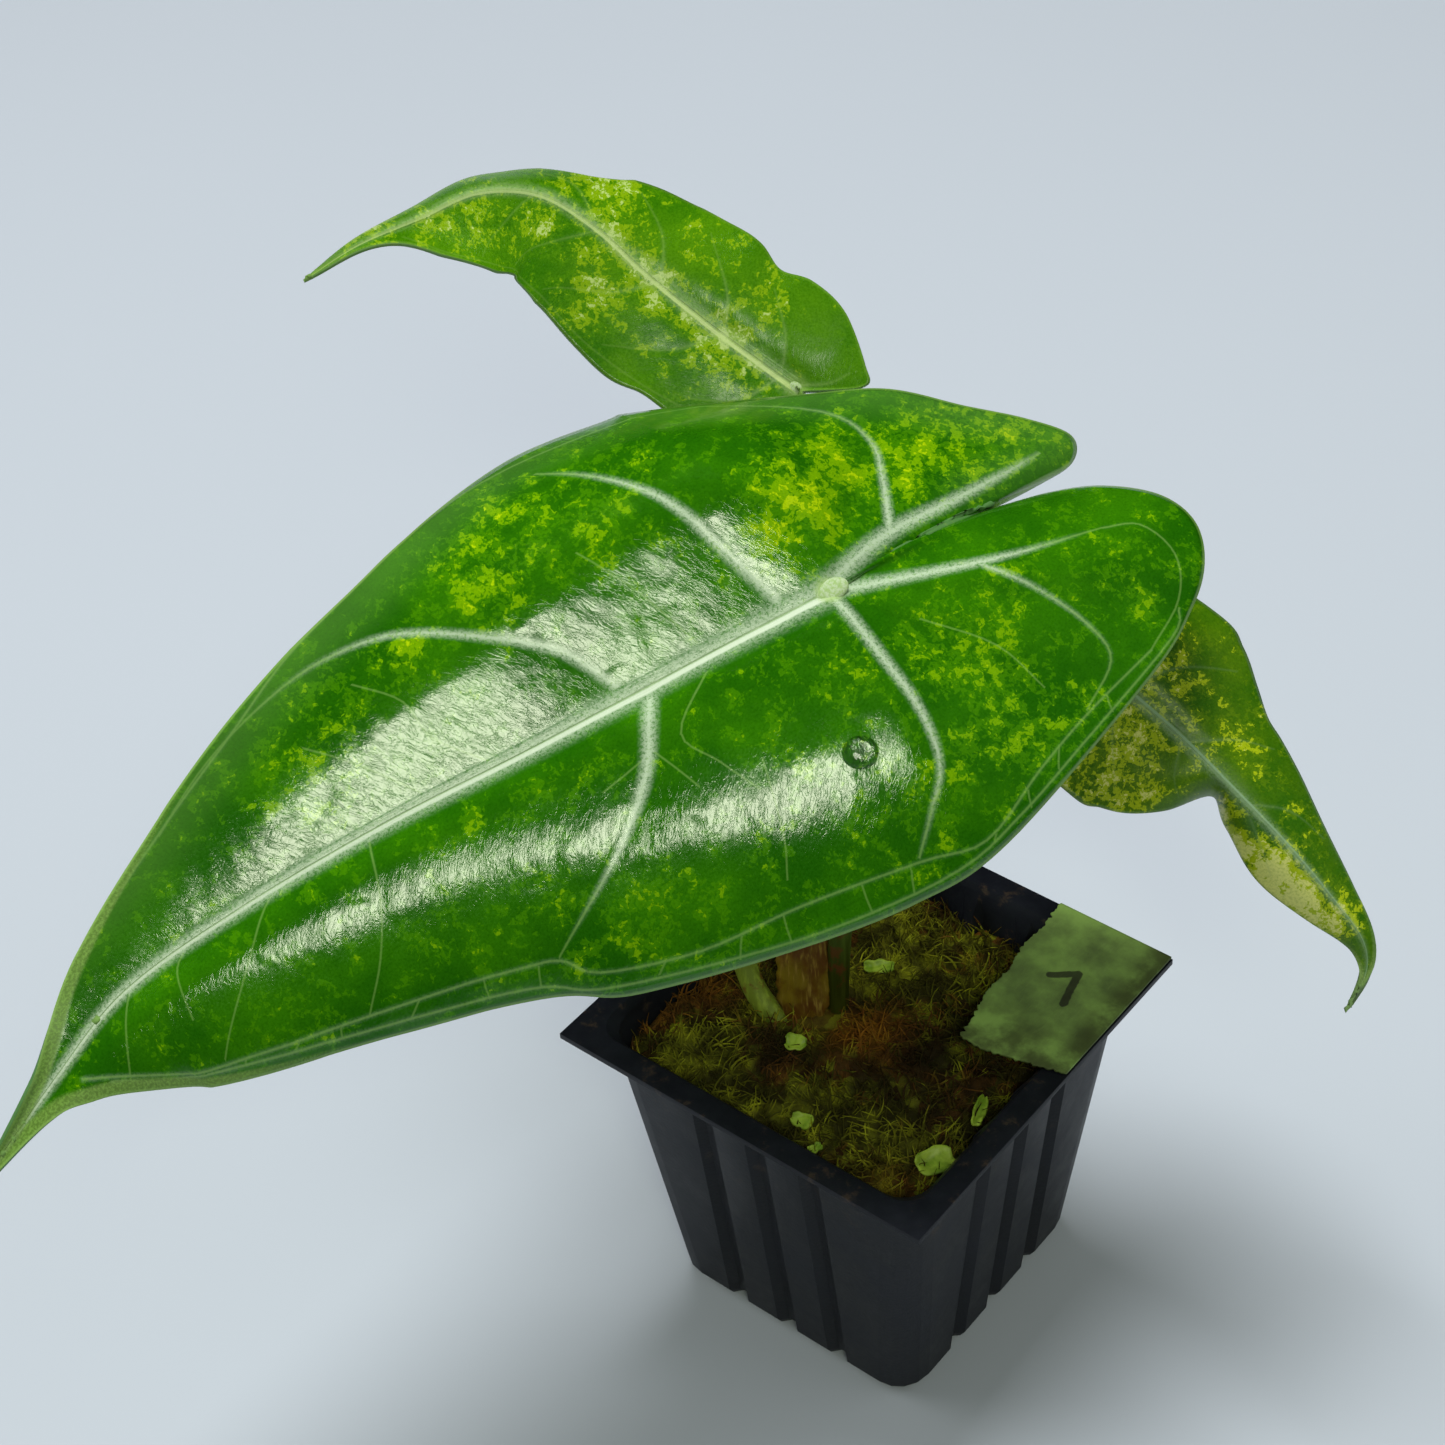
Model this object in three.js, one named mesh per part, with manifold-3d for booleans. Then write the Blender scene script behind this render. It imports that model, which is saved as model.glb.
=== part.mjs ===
// A young variegated alocasia with three leaves, growing in moss in a square nursery pot.
// Millimetres, +Z up. The origin is the middle of the pot's base, on the surface it stands on.
// X and Y run parallel to the sides of the pot.
import * as THREE from 'three';
import { mergeVertices } from 'three/addons/utils/BufferGeometryUtils.js';
import Module from 'manifold-3d';

const wasm = await Module();
wasm.setup();

// Pot
const rimSide = 75;
const potHeight = 66;
const wallTopSide = 66.5;
const baseSide = 52.6;
const cornerRadius = 6.5;
const wallThickness = 1.1;
const floorThickness = 1.4;
const flangeThickness = 1.2;
const mouthFlare = 1.05;
const mouthCorner = 4.5;
const fluteCount = 3;
const flutePitch = 11.2;
const fluteWidth = 4.4;
const fluteDepth = 1.5;
const fluteStop = 61.5;
const fluteFade = 64.4;
const drainRadius = 3.5;
const drainOffset = 14;

// Growing medium and the stem that stands in it
const mossTop = 57.5;
const mossMargin = 0.3;
const crownCentre = [-10.6, -2.2];
const crownTop = 60.5;
const crownRoot = 47;
const crownRadius = 6.4;

// Tape on one corner of the rim
const tapeThickness = 0.5;

// Room between pieces that touch on the real plant
const seat = 0.3;

// Blades
const bladeThickness = 0.8;

// Each leaf is laid out flat and then bent.
// stations: distance along the midrib, the midrib's point there, and the direction across the blade.
// ribs: distance along the midrib where a rib starts, then the flat place (along, across) and the
// height over the midrib of its end on one margin, and the same for its end on the other margin.
// The first ribs fan round the petiole and outline the two lobes behind it.
// channel and arch: depth of the groove over the midrib and steepness of the swell, on either side.
// facet: how steeply the first side rises from the midrib before it turns down to its margin.
const largeLeaf = {
  channel: [0.1, 3],
  arch: [0, 0.1],
  facet: { slope: 0.28, growFrom: -20, growOver: 30, fadeFrom: 12.5, fadeOver: 110, flatShare: 0.38 },
  ridge: 2.2,
  midribDepth: 2.6,
  stations: [
    [0, -2, -4, 156.5, 0.82, -0.31, -0.48],
    [25, -14, -25, 150, 0.83, -0.29, -0.48],
    [50, -25.5, -46.5, 144, 0.78, -0.28, -0.56],
    [75, -37, -67.5, 138.5, 0.75, -0.22, -0.62],
    [100, -47.5, -89.5, 132, 0.76, -0.13, -0.63],
    [120, -54.5, -107, 125.5, 0.81, 0.07, -0.59],
    [135, -56.5, -120, 118, 0.82, 0.23, -0.52],
    [157, -59, -138, 105.5, 0.81, 0.24, -0.53],
  ],
  ribs: [
    [0, -30, -5, -17.5, -30, -5, -17.5],
    [0, -41, -7.5, -25.5, -41, -4, -21.5],
    [0, -48.5, -9.5, -29.5, -49, -1, -22],
    [0, -50.5, -13.5, -29.5, -55.5, 5, -20.5],
    [0, -45, -18.5, -26.5, -57.5, 12, -18.5],
    [0, -36.5, -24, -22.5, -55, 19, -17],
    [0, -26.5, -31, -18.5, -49, 25, -16],
    [0, -14, -35.5, -15.5, -37.5, 32, -13],
    [0, 10.5, -44, -11.5, -5.5, 45, -8],
    [2, 16, -45, -10.5, 11, 46.5, -8],
    [18, 31.5, -45, -8, 31, 44, -7.5],
    [41, 52.5, -38.5, -4, 53, 39, -5.5],
    [54, 64, -34, -2.5, 64, 34, -4],
    [80, 87.5, -24.5, -0.5, 88.5, 28, -2],
    [115, 118, -10, -0.5, 120.5, 18.5, 0],
    [132, 133, -4, 0.5, 134, 7, 1],
    [140, 140.5, -2, 1, 141, 3, 1],
    [157, 157, 0, 0, 157, 0, 0],
  ],
};

const backLeaf = {
  channel: [1.2, 1.2],
  arch: [0, 0],
  ridge: 0,
  midribDepth: 1.8,
  stations: [
    [0, -37, 33.5, 158.5, -0.18, -0.73, -0.66],
    [15, -50, 30.5, 166, -0.24, -0.75, -0.62],
    [30, -62.5, 28, 174, -0.3, -0.76, -0.57],
    [42, -72, 26.5, 180.5, -0.23, -0.74, -0.63],
    [52, -80.5, 23.5, 185, 0.05, -0.61, -0.79],
    [62, -87.5, 16.5, 186.5, 0.43, -0.28, -0.86],
    [72, -92.5, 8, 184.5, 0.55, -0.12, -0.82],
    [83, -97, -2, 183, 0.61, -0.02, -0.79],
    [94, -100, -12, 180.5, 0.64, 0.02, -0.77],
  ],
  ribs: [
    [0, -1.5, 0, 0.5, -1.5, 0, 0.5],
    [0, -9, -6.5, 2, -9, 7.5, 2],
    [0, -7, -9.5, 1.5, -6.5, 12, 2.5],
    [0, 0.5, -14.5, -0.5, 4, 15.5, 3],
    [3, 7.5, -15.5, -2, 7.5, 15.5, 3],
    [8, 13, -14, -3, 12.5, 15.5, 3.5],
    [14, 18.5, -15.5, -4, 18.5, 15.5, 4],
    [20, 24.5, -15, -5.5, 25, 17, 4.5],
    [34, 37.5, -12, -9, 38.5, 15.5, 6.5],
    [48, 49.5, -5.5, -12, 52.5, 15, 8],
    [55, 56, -3, -11, 59.5, 14.5, 8],
    [62, 62.5, -2.5, -9, 66, 13, 8],
    [77, 77.5, -1.5, -4, 77.5, 2.5, 2.5],
    [94, 94, 0, 0, 94, 0, 0],
  ],
};

const rightLeaf = {
  channel: [1.2, 1.2],
  arch: [0, 0],
  ridge: 0,
  midribDepth: 1.8,
  stations: [
    [0, 16.5, 32.5, 131, 0.24, 0.75, 0.61],
    [12, 26.5, 34, 125, 0.24, 0.75, 0.61],
    [24, 37, 35, 119, 0.29, 0.76, 0.59],
    [36, 47.5, 34.5, 113.5, 0.27, 0.76, 0.6],
    [48, 58, 34, 107.5, 0.4, 0.75, 0.53],
    [60, 67.5, 34, 100, 0.44, 0.74, 0.5],
    [68, 73, 34, 94.5, 0.6, 0.7, 0.4],
    [73, 75, 32.5, 90, 0.95, 0.3, -0.1],
    [80.5, 75, 27, 85, 0.96, 0.22, -0.18],
  ],
  ribs: [
    [0, -1.5, 0, 0, -1.5, 0, 0],
    [0, -6, -3, 0.5, -6, 3.5, -2],
    [0, -10, -7, 1.5, -10, 7, -4.5],
    [0, -7.5, -12, 3.5, -8.5, 12, -7],
    [0, 2, -17, 6.5, 1, 17, -9.5],
    [14, 17.5, -18, 7.5, 17.5, 19, -9.5],
    [19, 22.5, -16.5, 6, 22.5, 17.5, -9.5],
    [24, 27, -14.5, 3.5, 27, 14.5, -8.5],
    [29, 31, -10, -1, 31.5, 12, -7.5],
    [34, 34.5, -3, -6.5, 36, 11, -7],
    [39, 40, -5, -7, 41, 9.5, -6.5],
    [51, 52.5, -7, -4.5, 52, 6, -5],
    [73, 73, -1, 0, 73, 1, 0],
    [80.5, 80.5, 0, 0, 80.5, 0, 0],
  ],
};

// Petioles: the way each one takes from the crown to its blade, and its radius at both ends
const largePetiole = {
  baseRadius: 2.2,
  topRadius: 1.6,
  path: [
    [-7.2, 0.2, 55],
    [-6.8, 0.6, 68],
    [-5.6, 1.6, 90],
    [-3.2, 1.4, 118],
    [-1.4, -1.0, 142],
    [-1.9, -3.2, 154.4],
  ],
};
const backPetiole = {
  baseRadius: 2.2,
  topRadius: 1.4,
  path: [
    [-14.0, -7.0, 55],
    [-19.5, -7.5, 64],
    [-27.0, -4.0, 80],
    [-33.5, 5.0, 103],
    [-36.4, 18.0, 130],
    [-37.2, 28.6, 150],
    [-37.1, 31.4, 155.8],
  ],
};
const rightPetiole = {
  baseRadius: 1.7,
  topRadius: 1.3,
  path: [
    [-12.6, 2.6, 55],
    [-12.8, 4.4, 68],
    [-8.0, 11.0, 90],
    [2.0, 22.0, 112],
    [11.5, 29.5, 125],
    [15.6, 31.8, 129.3],
  ],
};

// Cubic curve through rows [t, a, b, ...], carried on straight past both ends.
function along(rows, t) {
  const last = rows.length - 1;
  const slope = (i, column) => {
    const before = rows[Math.max(i - 1, 0)];
    const after = rows[Math.min(i + 1, last)];
    return (after[column] - before[column]) / (after[0] - before[0]);
  };
  const values = [];
  if (t < rows[0][0] || t > rows[last][0]) {
    const end = t < rows[0][0] ? 0 : last;
    for (let c = 1; c < rows[0].length; c += 1) {
      values.push(rows[end][c] + (t - rows[end][0]) * slope(end, c));
    }
    return values;
  }
  let k = 0;
  while (k < last - 1 && t >= rows[k + 1][0]) {
    k += 1;
  }
  const step = rows[k + 1][0] - rows[k][0];
  const u = (t - rows[k][0]) / step;
  const startWeight = 2 * u ** 3 - 3 * u ** 2 + 1;
  const startSlopeWeight = (u ** 3 - 2 * u ** 2 + u) * step;
  const endSlopeWeight = (u ** 3 - u ** 2) * step;
  for (let c = 1; c < rows[0].length; c += 1) {
    values.push(startWeight * rows[k][c] + startSlopeWeight * slope(k, c)
      + (1 - startWeight) * rows[k + 1][c] + endSlopeWeight * slope(k + 1, c));
  }
  return values;
}

// The midrib's point, and the directions across and over the blade, at a distance along it.
function midribFrame(leaf, x) {
  const halfStep = 0.5;
  const here = along(leaf.stations, x);
  const before = new THREE.Vector3(...along(leaf.stations, x - halfStep).slice(0, 3));
  const after = new THREE.Vector3(...along(leaf.stations, x + halfStep).slice(0, 3));
  const forward = after.sub(before).normalize();
  const over = new THREE.Vector3().crossVectors(forward, new THREE.Vector3(...here.slice(3)));
  over.normalize();
  return {
    point: new THREE.Vector3(...here.slice(0, 3)),
    across: new THREE.Vector3().crossVectors(over, forward),
    over,
  };
}

// Flat place and height at rib number t, a share of the way out to one margin (side 0 or 1).
function flatPlace(leaf, t, share, side) {
  const gentleStart = 0.25;
  const lobeStart = 0.8;
  const lobeReach = 30;
  const channelWidth = 3;
  const fullChannelAt = 20;
  const ridgeRibs = 1.6;
  const rows = leaf.ribs.map((rib, i) => [i, ...rib]);
  const rib = along(rows, t);
  const start = Math.max(rib[0], 0);
  const [endX, endY, endHeight] = rib.slice(1 + 3 * side, 4 + 3 * side);
  const x = start + (endX - start) * share;
  const y = endY * share;
  const intoLobe = THREE.MathUtils.smoothstep(-endX / lobeReach, 0, 1);
  const startSlope = gentleStart + (lobeStart - gentleStart) * intoLobe;
  const length = Math.abs(endY);
  let profile = endHeight * (startSlope * share + (1 - startSlope) * share ** 2);
  if (leaf.facet && side === 0) {
    const { slope, growFrom, growOver, fadeFrom, fadeOver, flatShare } = leaf.facet;
    const grown = THREE.MathUtils.smoothstep((x - growFrom) / growOver, 0, 1);
    const faded = THREE.MathUtils.smoothstep((x - fadeFrom) / fadeOver, 0, 1);
    const rise = slope * length * grown * (1 - faded);
    const bend = (rise - endHeight) / (1 - flatShare) ** 2;
    const facet = rise * share - bend * Math.max(share - flatShare, 0) ** 2;
    profile = THREE.MathUtils.lerp(facet, profile, intoLobe);
  }
  profile += leaf.arch[side] * length * (share - share ** 3) * (1 - intoLobe);
  const lobeDepth = (leaf.channel[0] + leaf.channel[1]) / 2;
  const sideDepth = THREE.MathUtils.lerp(leaf.channel[side], lobeDepth, intoLobe);
  const depth = sideDepth * Math.min(length / fullChannelAt, 1);
  const channel = depth * (1 - Math.exp(-((y / channelWidth) ** 2))) * (1 - share ** 2);
  const ridge = leaf.ridge * Math.exp(-((t / ridgeRibs) ** 2)) * share * (1 - share) * 4;
  return { x, y, height: profile + channel + ridge };
}

function bladePoint(leaf, t, share, side) {
  const place = flatPlace(leaf, t, share, side);
  const frame = midribFrame(leaf, place.x);
  return frame.point
    .addScaledVector(frame.across, place.y)
    .addScaledVector(frame.over, place.height);
}

// The direction over the blade at one place, from two short steps on its surface.
function bladeNormal(leaf, t, share, side) {
  const tipRib = leaf.ribs.length - 1;
  const ribStep = 0.02;
  const shareStep = 0.01;
  const leastShare = 0.1;
  const t0 = Math.min(Math.max(t, ribStep), tipRib - 2 * ribStep);
  const s0 = Math.max(share, leastShare);
  const alongStep = bladePoint(leaf, t0 + ribStep, s0, side).sub(bladePoint(leaf, t0 - ribStep, s0, side));
  const outStep = bladePoint(leaf, t0, s0 + shareStep, side).sub(bladePoint(leaf, t0, s0 - shareStep, side));
  const normal = outStep.cross(alongStep).normalize();
  const over = midribFrame(leaf, flatPlace(leaf, t, share, side).x).over;
  return normal.dot(over) < 0 ? normal.negate() : normal;
}

const closedGeometry = (vertices, triangles) => {
  const geometry = new THREE.BufferGeometry();
  geometry.setAttribute('position', new THREE.Float32BufferAttribute(vertices.flatMap((v) => [v.x, v.y, v.z]), 3));
  geometry.setIndex(triangles);
  return geometry;
};

// A THREE geometry as a solid that can be joined and cut, and back again.
function toSolid(geometry) {
  const bare = new THREE.BufferGeometry();
  const plain = geometry.index ? geometry.toNonIndexed() : geometry;
  bare.setAttribute('position', plain.getAttribute('position').clone());
  const merged = mergeVertices(bare, 1e-4);
  const index = merged.index.array;
  const kept = [];
  for (let i = 0; i < index.length; i += 3) {
    const [a, b, c] = [index[i], index[i + 1], index[i + 2]];
    if (a !== b && b !== c && a !== c) {
      kept.push(a, b, c);
    }
  }
  return new wasm.Manifold(new wasm.Mesh({
    numProp: 3,
    vertProperties: new Float32Array(merged.getAttribute('position').array),
    triVerts: new Uint32Array(kept),
  }));
}

function fromSolid(solid) {
  const mesh = solid.getMesh();
  const geometry = new THREE.BufferGeometry();
  geometry.setAttribute('position', new THREE.BufferAttribute(new Float32Array(mesh.vertProperties), 3));
  geometry.setIndex(new THREE.BufferAttribute(new Uint32Array(mesh.triVerts), 1));
  return geometry;
}

// What is left when small crumbs that a cut has set free are dropped.
function largestBody(solid) {
  return solid.decompose().reduce((best, body) => (body.volume() > best.volume() ? body : best));
}

// Blade as a closed body: two faces cut into triangles alike, a thick midrib under it, a thin margin.
function bladeGeometry(leaf, rowCount, extra = 0) {
  const shares = [0, 0.07, 0.18, 0.34, 0.52, 0.7, 0.87, 1];
  const midribWidth = 2.4;
  const midribFadeBehind = 8;
  const knotRadius = 2;
  const knotClear = 10;
  const tipRib = leaf.ribs.length - 1;
  const midribLength = leaf.stations[leaf.stations.length - 1][0];
  const vertices = [];
  const triangles = [];
  const numbers = new Map();
  const put = (point) => {
    const key = point.toArray().map((value) => Math.round(value * 1e4)).join(' ');
    if (!numbers.has(key)) {
      numbers.set(key, vertices.length);
      vertices.push(point);
    }
    return numbers.get(key);
  };
  const faces = (a, b, c) => {
    if (a !== b && b !== c && a !== c) {
      triangles.push(a, b, c);
    }
  };
  const tops = [];
  const unders = [];
  const columns = [...shares.slice(1).reverse().map((share) => [share, 0]), ...shares.map((share) => [share, 1])];
  for (let row = 0; row <= rowCount; row += 1) {
    const t = (row / rowCount) * tipRib;
    const topRow = [];
    const underRow = [];
    for (const [share, side] of columns) {
      const place = flatPlace(leaf, t, share, side);
      const point = bladePoint(leaf, t, share, side);
      const over = midribFrame(leaf, place.x).over;
      const fromKnot = THREE.MathUtils.smoothstep(Math.hypot(place.x, place.y), knotRadius, knotClear);
      const onMiddle = share === 0 || row === 0 || row === rowCount;
      const normal = onMiddle
        ? over
        : bladeNormal(leaf, t, share, side).lerp(over, 1 - fromKnot).normalize();
      const toTip = THREE.MathUtils.clamp(place.x / midribLength, 0, 1);
      const rib = leaf.midribDepth * (1 - toTip) * Math.exp(-((place.y / midribWidth) ** 2))
        * Math.exp(-((Math.min(place.x, 0) / midribFadeBehind) ** 2));
      topRow.push(put(point.clone().addScaledVector(normal, bladeThickness / 2 + extra)));
      underRow.push(put(point.addScaledVector(normal, -bladeThickness / 2 - extra).addScaledVector(over, -rib)));
    }
    tops.push(topRow);
    unders.push(underRow);
  }
  for (let row = 0; row < rowCount; row += 1) {
    for (let c = 0; c < columns.length - 1; c += 1) {
      const [a, b] = [tops[row][c], tops[row][c + 1]];
      const [d, e] = [tops[row + 1][c], tops[row + 1][c + 1]];
      faces(a, d, b);
      faces(b, d, e);
      const [p, q] = [unders[row][c], unders[row][c + 1]];
      const [r, s] = [unders[row + 1][c], unders[row + 1][c + 1]];
      faces(p, q, r);
      faces(q, s, r);
    }
    const lastColumn = columns.length - 1;
    faces(tops[row][0], unders[row][0], tops[row + 1][0]);
    faces(unders[row][0], unders[row + 1][0], tops[row + 1][0]);
    faces(tops[row][lastColumn], tops[row + 1][lastColumn], unders[row][lastColumn]);
    faces(unders[row][lastColumn], tops[row + 1][lastColumn], unders[row + 1][lastColumn]);
  }
  return closedGeometry(vertices, triangles);
}

// Closed body through level rings of points, each ring counter-clockwise from above.
function ringBody(rings) {
  const count = rings[0].length;
  const vertices = rings.flat();
  const triangles = [];
  for (let level = 0; level < rings.length - 1; level += 1) {
    for (let i = 0; i < count; i += 1) {
      const j = (i + 1) % count;
      const [a, b] = [level * count + i, level * count + j];
      const [c, d] = [a + count, b + count];
      triangles.push(a, b, d, a, d, c);
    }
  }
  const middle = (ring) => ring.reduce((sum, v) => sum.add(v), new THREE.Vector3()).divideScalar(count);
  vertices.push(middle(rings[0]), middle(rings[rings.length - 1]));
  const [bottom, top] = [vertices.length - 2, vertices.length - 1];
  const lastRing = (rings.length - 1) * count;
  for (let i = 0; i < count; i += 1) {
    const j = (i + 1) % count;
    triangles.push(bottom, j, i, top, lastRing + i, lastRing + j);
  }
  return closedGeometry(vertices, triangles);
}

// Round stem along a path, tapering from one radius to the other. Extra widens it and lowers its foot.
function stemGeometry({ path, baseRadius, topRadius }, extra = 0) {
  const sides = 8;
  const steps = 12;
  const curve = new THREE.CatmullRomCurve3(path.map((p) => new THREE.Vector3(...p)));
  const frames = curve.computeFrenetFrames(steps, false);
  const rings = [];
  for (let i = 0; i <= steps; i += 1) {
    const middle = curve.getPointAt(i / steps);
    if (i === 0) {
      middle.addScaledVector(frames.tangents[0], -extra);
    }
    const radius = THREE.MathUtils.lerp(baseRadius, topRadius, i / steps) + extra;
    const ring = [];
    for (let k = 0; k < sides; k += 1) {
      const angle = (k / sides) * Math.PI * 2;
      ring.push(middle.clone()
        .addScaledVector(frames.normals[i], Math.cos(angle) * radius)
        .addScaledVector(frames.binormals[i], Math.sin(angle) * radius));
    }
    rings.push(ring);
  }
  return ringBody(rings);
}

// Outline of the pot's wall at one height: a square with round corners and flutes in each face.
function wallOutline(z, inset, fluteShare, corner = cornerRadius) {
  const cornerSteps = 4;
  const leastRadius = 1;
  const floorHalf = fluteWidth / 5;
  const half = THREE.MathUtils.lerp(baseSide, wallTopSide, z / potHeight) / 2 - inset;
  const radius = Math.max(corner - inset, leastRadius);
  const points = [];
  for (let side = 0; side < 4; side += 1) {
    const turn = (side * Math.PI) / 2;
    const local = [];
    for (let f = 0; f < fluteCount; f += 1) {
      const centre = (f - (fluteCount - 1) / 2) * flutePitch;
      const cut = fluteDepth * fluteShare;
      local.push([half, centre - fluteWidth / 2], [half - cut, centre - floorHalf]);
      local.push([half - cut, centre + floorHalf], [half, centre + fluteWidth / 2]);
    }
    for (let k = 0; k <= cornerSteps; k += 1) {
      const angle = (k / cornerSteps) * (Math.PI / 2);
      local.push([half - radius + radius * Math.cos(angle), half - radius + radius * Math.sin(angle)]);
    }
    for (const [x, y] of local) {
      points.push(new THREE.Vector3(
        x * Math.cos(turn) - y * Math.sin(turn),
        x * Math.sin(turn) + y * Math.cos(turn),
        z,
      ));
    }
  }
  return points;
}

function potSolid() {
  const wallEnd = potHeight - flangeThickness / 2;
  const roundedFoot = [[0, 2.2], [0.8, 0.8], [2.5, 0]];
  const outer = toSolid(ringBody([
    ...roundedFoot.map(([z, inset]) => wallOutline(z, inset, 1)),
    wallOutline(fluteStop, 0, 1),
    wallOutline(fluteFade, 0, 0),
    wallOutline(wallEnd, 0, 0),
  ]));
  const flange = new THREE.BoxGeometry(rimSide, rimSide, flangeThickness);
  flange.translate(0, 0, potHeight - flangeThickness / 2);
  let pot = outer.add(toSolid(flange)).subtract(cavitySolid(wallThickness, floorThickness));
  const drainSides = 16;
  const drain = new THREE.CylinderGeometry(drainRadius, drainRadius, 6 * floorThickness, drainSides);
  drain.rotateX(Math.PI / 2);
  for (const [sx, sy] of [[1, 1], [-1, 1], [-1, -1], [1, -1]]) {
    const hole = drain.clone().translate(sx * drainOffset, sy * drainOffset, 0);
    pot = pot.subtract(toSolid(hole));
  }
  return pot;
}

// The room inside the pot, or with a wider inset the body that fills it. It opens out at the rim.
function cavitySolid(inset, bottom) {
  const footInset = 1.6;
  const footRise = 1.8;
  const mouth = potHeight + 4;
  return toSolid(ringBody([
    wallOutline(bottom, inset + footInset, 1),
    wallOutline(bottom + footRise, inset, 1),
    wallOutline(fluteStop, inset, 1),
    wallOutline(fluteFade, inset, 0),
    wallOutline(potHeight, inset - mouthFlare, 0, mouthCorner),
    wallOutline(mouth, inset - mouthFlare, 0, mouthCorner),
  ]));
}

// Repeatable random numbers between 0 and 1.
function seededRandom(seed) {
  let state = seed;
  return () => {
    state = (state * 1664525 + 1013904223) % 4294967296;
    return state / 4294967296;
  };
}

// Lumpy top of the moss as a height over the plane, from many small tufts.
function mossRelief() {
  const seed = 7;
  const tuftCount = 90;
  const [leastRadius, moreRadius] = [2.6, 2.6];
  const [leastHeight, moreHeight] = [0.8, 1.7];
  const [swell, swellX, swellY] = [0.9, 9, 8];
  const random = seededRandom(seed);
  const tufts = [];
  for (let i = 0; i < tuftCount; i += 1) {
    tufts.push({
      x: (random() - 0.5) * wallTopSide,
      y: (random() - 0.5) * wallTopSide,
      radius: leastRadius + random() * moreRadius,
      height: leastHeight + random() * moreHeight,
    });
  }
  return (x, y) => {
    const broad = swell * Math.sin(x / swellX + 1) * Math.cos(y / swellY);
    const tops = tufts.map((tuft) => {
      const distance = ((x - tuft.x) ** 2 + (y - tuft.y) ** 2) / tuft.radius ** 2;
      return tuft.height * Math.exp(-distance);
    });
    return broad + Math.max(0, ...tops);
  };
}

function mossSolid() {
  const cells = 22;
  const width = 72;
  const depth = 80;
  const relief = mossRelief();
  const block = new THREE.BoxGeometry(width, width, depth, cells, cells, 1);
  block.translate(0, 0, mossTop - depth / 2);
  const position = block.getAttribute('position');
  for (let i = 0; i < position.count; i += 1) {
    if (position.getZ(i) > 0) {
      position.setZ(i, mossTop + relief(position.getX(i), position.getY(i)));
    }
  }
  return toSolid(block).intersect(cavitySolid(wallThickness + mossMargin, floorThickness + mossMargin));
}

// Short stem at the middle of the plant, most of it down in the moss.
function crownGeometry(extra = 0) {
  const sides = 18;
  const waviness = 0.08;
  const widestLevel = 2;
  const levels = [
    [crownRoot, 0.45],
    [crownRoot + 4, 0.75],
    [crownTop - 6, 1],
    [crownTop - 3, 0.92],
    [crownTop - 1, 0.62],
    [crownTop, 0.25],
  ];
  return ringBody(levels.map(([z, share], level) => {
    const ring = [];
    for (let k = 0; k < sides; k += 1) {
      const angle = (k / sides) * Math.PI * 2;
      const radius = crownRadius * share * (1 + waviness * Math.sin(3 * angle)) + extra;
      const lift = level < widestLevel ? -extra : extra;
      ring.push(new THREE.Vector3(
        crownCentre[0] + radius * Math.cos(angle),
        crownCentre[1] + radius * Math.sin(angle),
        z + lift,
      ));
    }
    return ring;
  }));
}

// Dry sheath of an old leaf: a bent strip standing in front of the stems, widest near its foot.
function sheathGeometry(extra = 0) {
  const thickness = 0.8 + 2 * extra;
  const across = 6;
  const foot = new THREE.Vector3(-9.6, -6.2, 56);
  const top = new THREE.Vector3(-12.4, -0.6, 92);
  const facing = THREE.MathUtils.degToRad(-52.4);
  const [bendLeft, bendRight] = [2.0, 0.7];
  const fullHalfWidth = 4.4;
  const halfWidths = [
    [0, 1.8],
    [0.08, 3.4],
    [0.16, fullHalfWidth],
    [0.4, fullHalfWidth],
    [0.6, 3.8],
    [0.8, 2.6],
    [0.92, 1.3],
    [1, 0.4],
  ];
  return ringBody(halfWidths.map(([share, halfWidth]) => {
    const middle = foot.clone().lerp(top, share);
    const front = [];
    for (let k = 0; k <= across; k += 1) {
      const s = (k / across) * 2 - 1;
      const bend = s < 0 ? bendLeft : bendRight;
      front.push([s * (halfWidth + extra), -bend * s * s * (halfWidth / fullHalfWidth) + thickness / 2]);
    }
    const back = front.map(([side, out]) => [side, out - thickness]).reverse();
    return [...front, ...back].map(([side, out]) => new THREE.Vector3(
      middle.x + out * Math.cos(facing) - side * Math.sin(facing),
      middle.y + out * Math.sin(facing) + side * Math.cos(facing),
      middle.z,
    ));
  }));
}

// Strip of tape across the corner of the opening, cut flush with the rim, torn along its inner edges.
function tapeGeometry() {
  const tapeMargin = 0.2;
  const edge = rimSide / 2 - tapeMargin;
  const outline = [
    [14.6, edge],
    [15.4, 30.5],
    [14.9, 25.0],
    [16.2, 19.0],
    [16.0, 12.5],
    [17.4, 6.4],
    [18.2, 1.4],
    [22.0, 1.0],
    [28.0, 2.2],
    [33.0, 3.4],
    [edge, 4.6],
    [edge, edge],
  ];
  const shape = new THREE.Shape(outline.map(([x, y]) => new THREE.Vector2(x, y)));
  const tape = new THREE.ExtrudeGeometry(shape, { depth: tapeThickness, bevelEnabled: false });
  tape.translate(0, 0, potHeight + seat);
  return tape;
}

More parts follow.
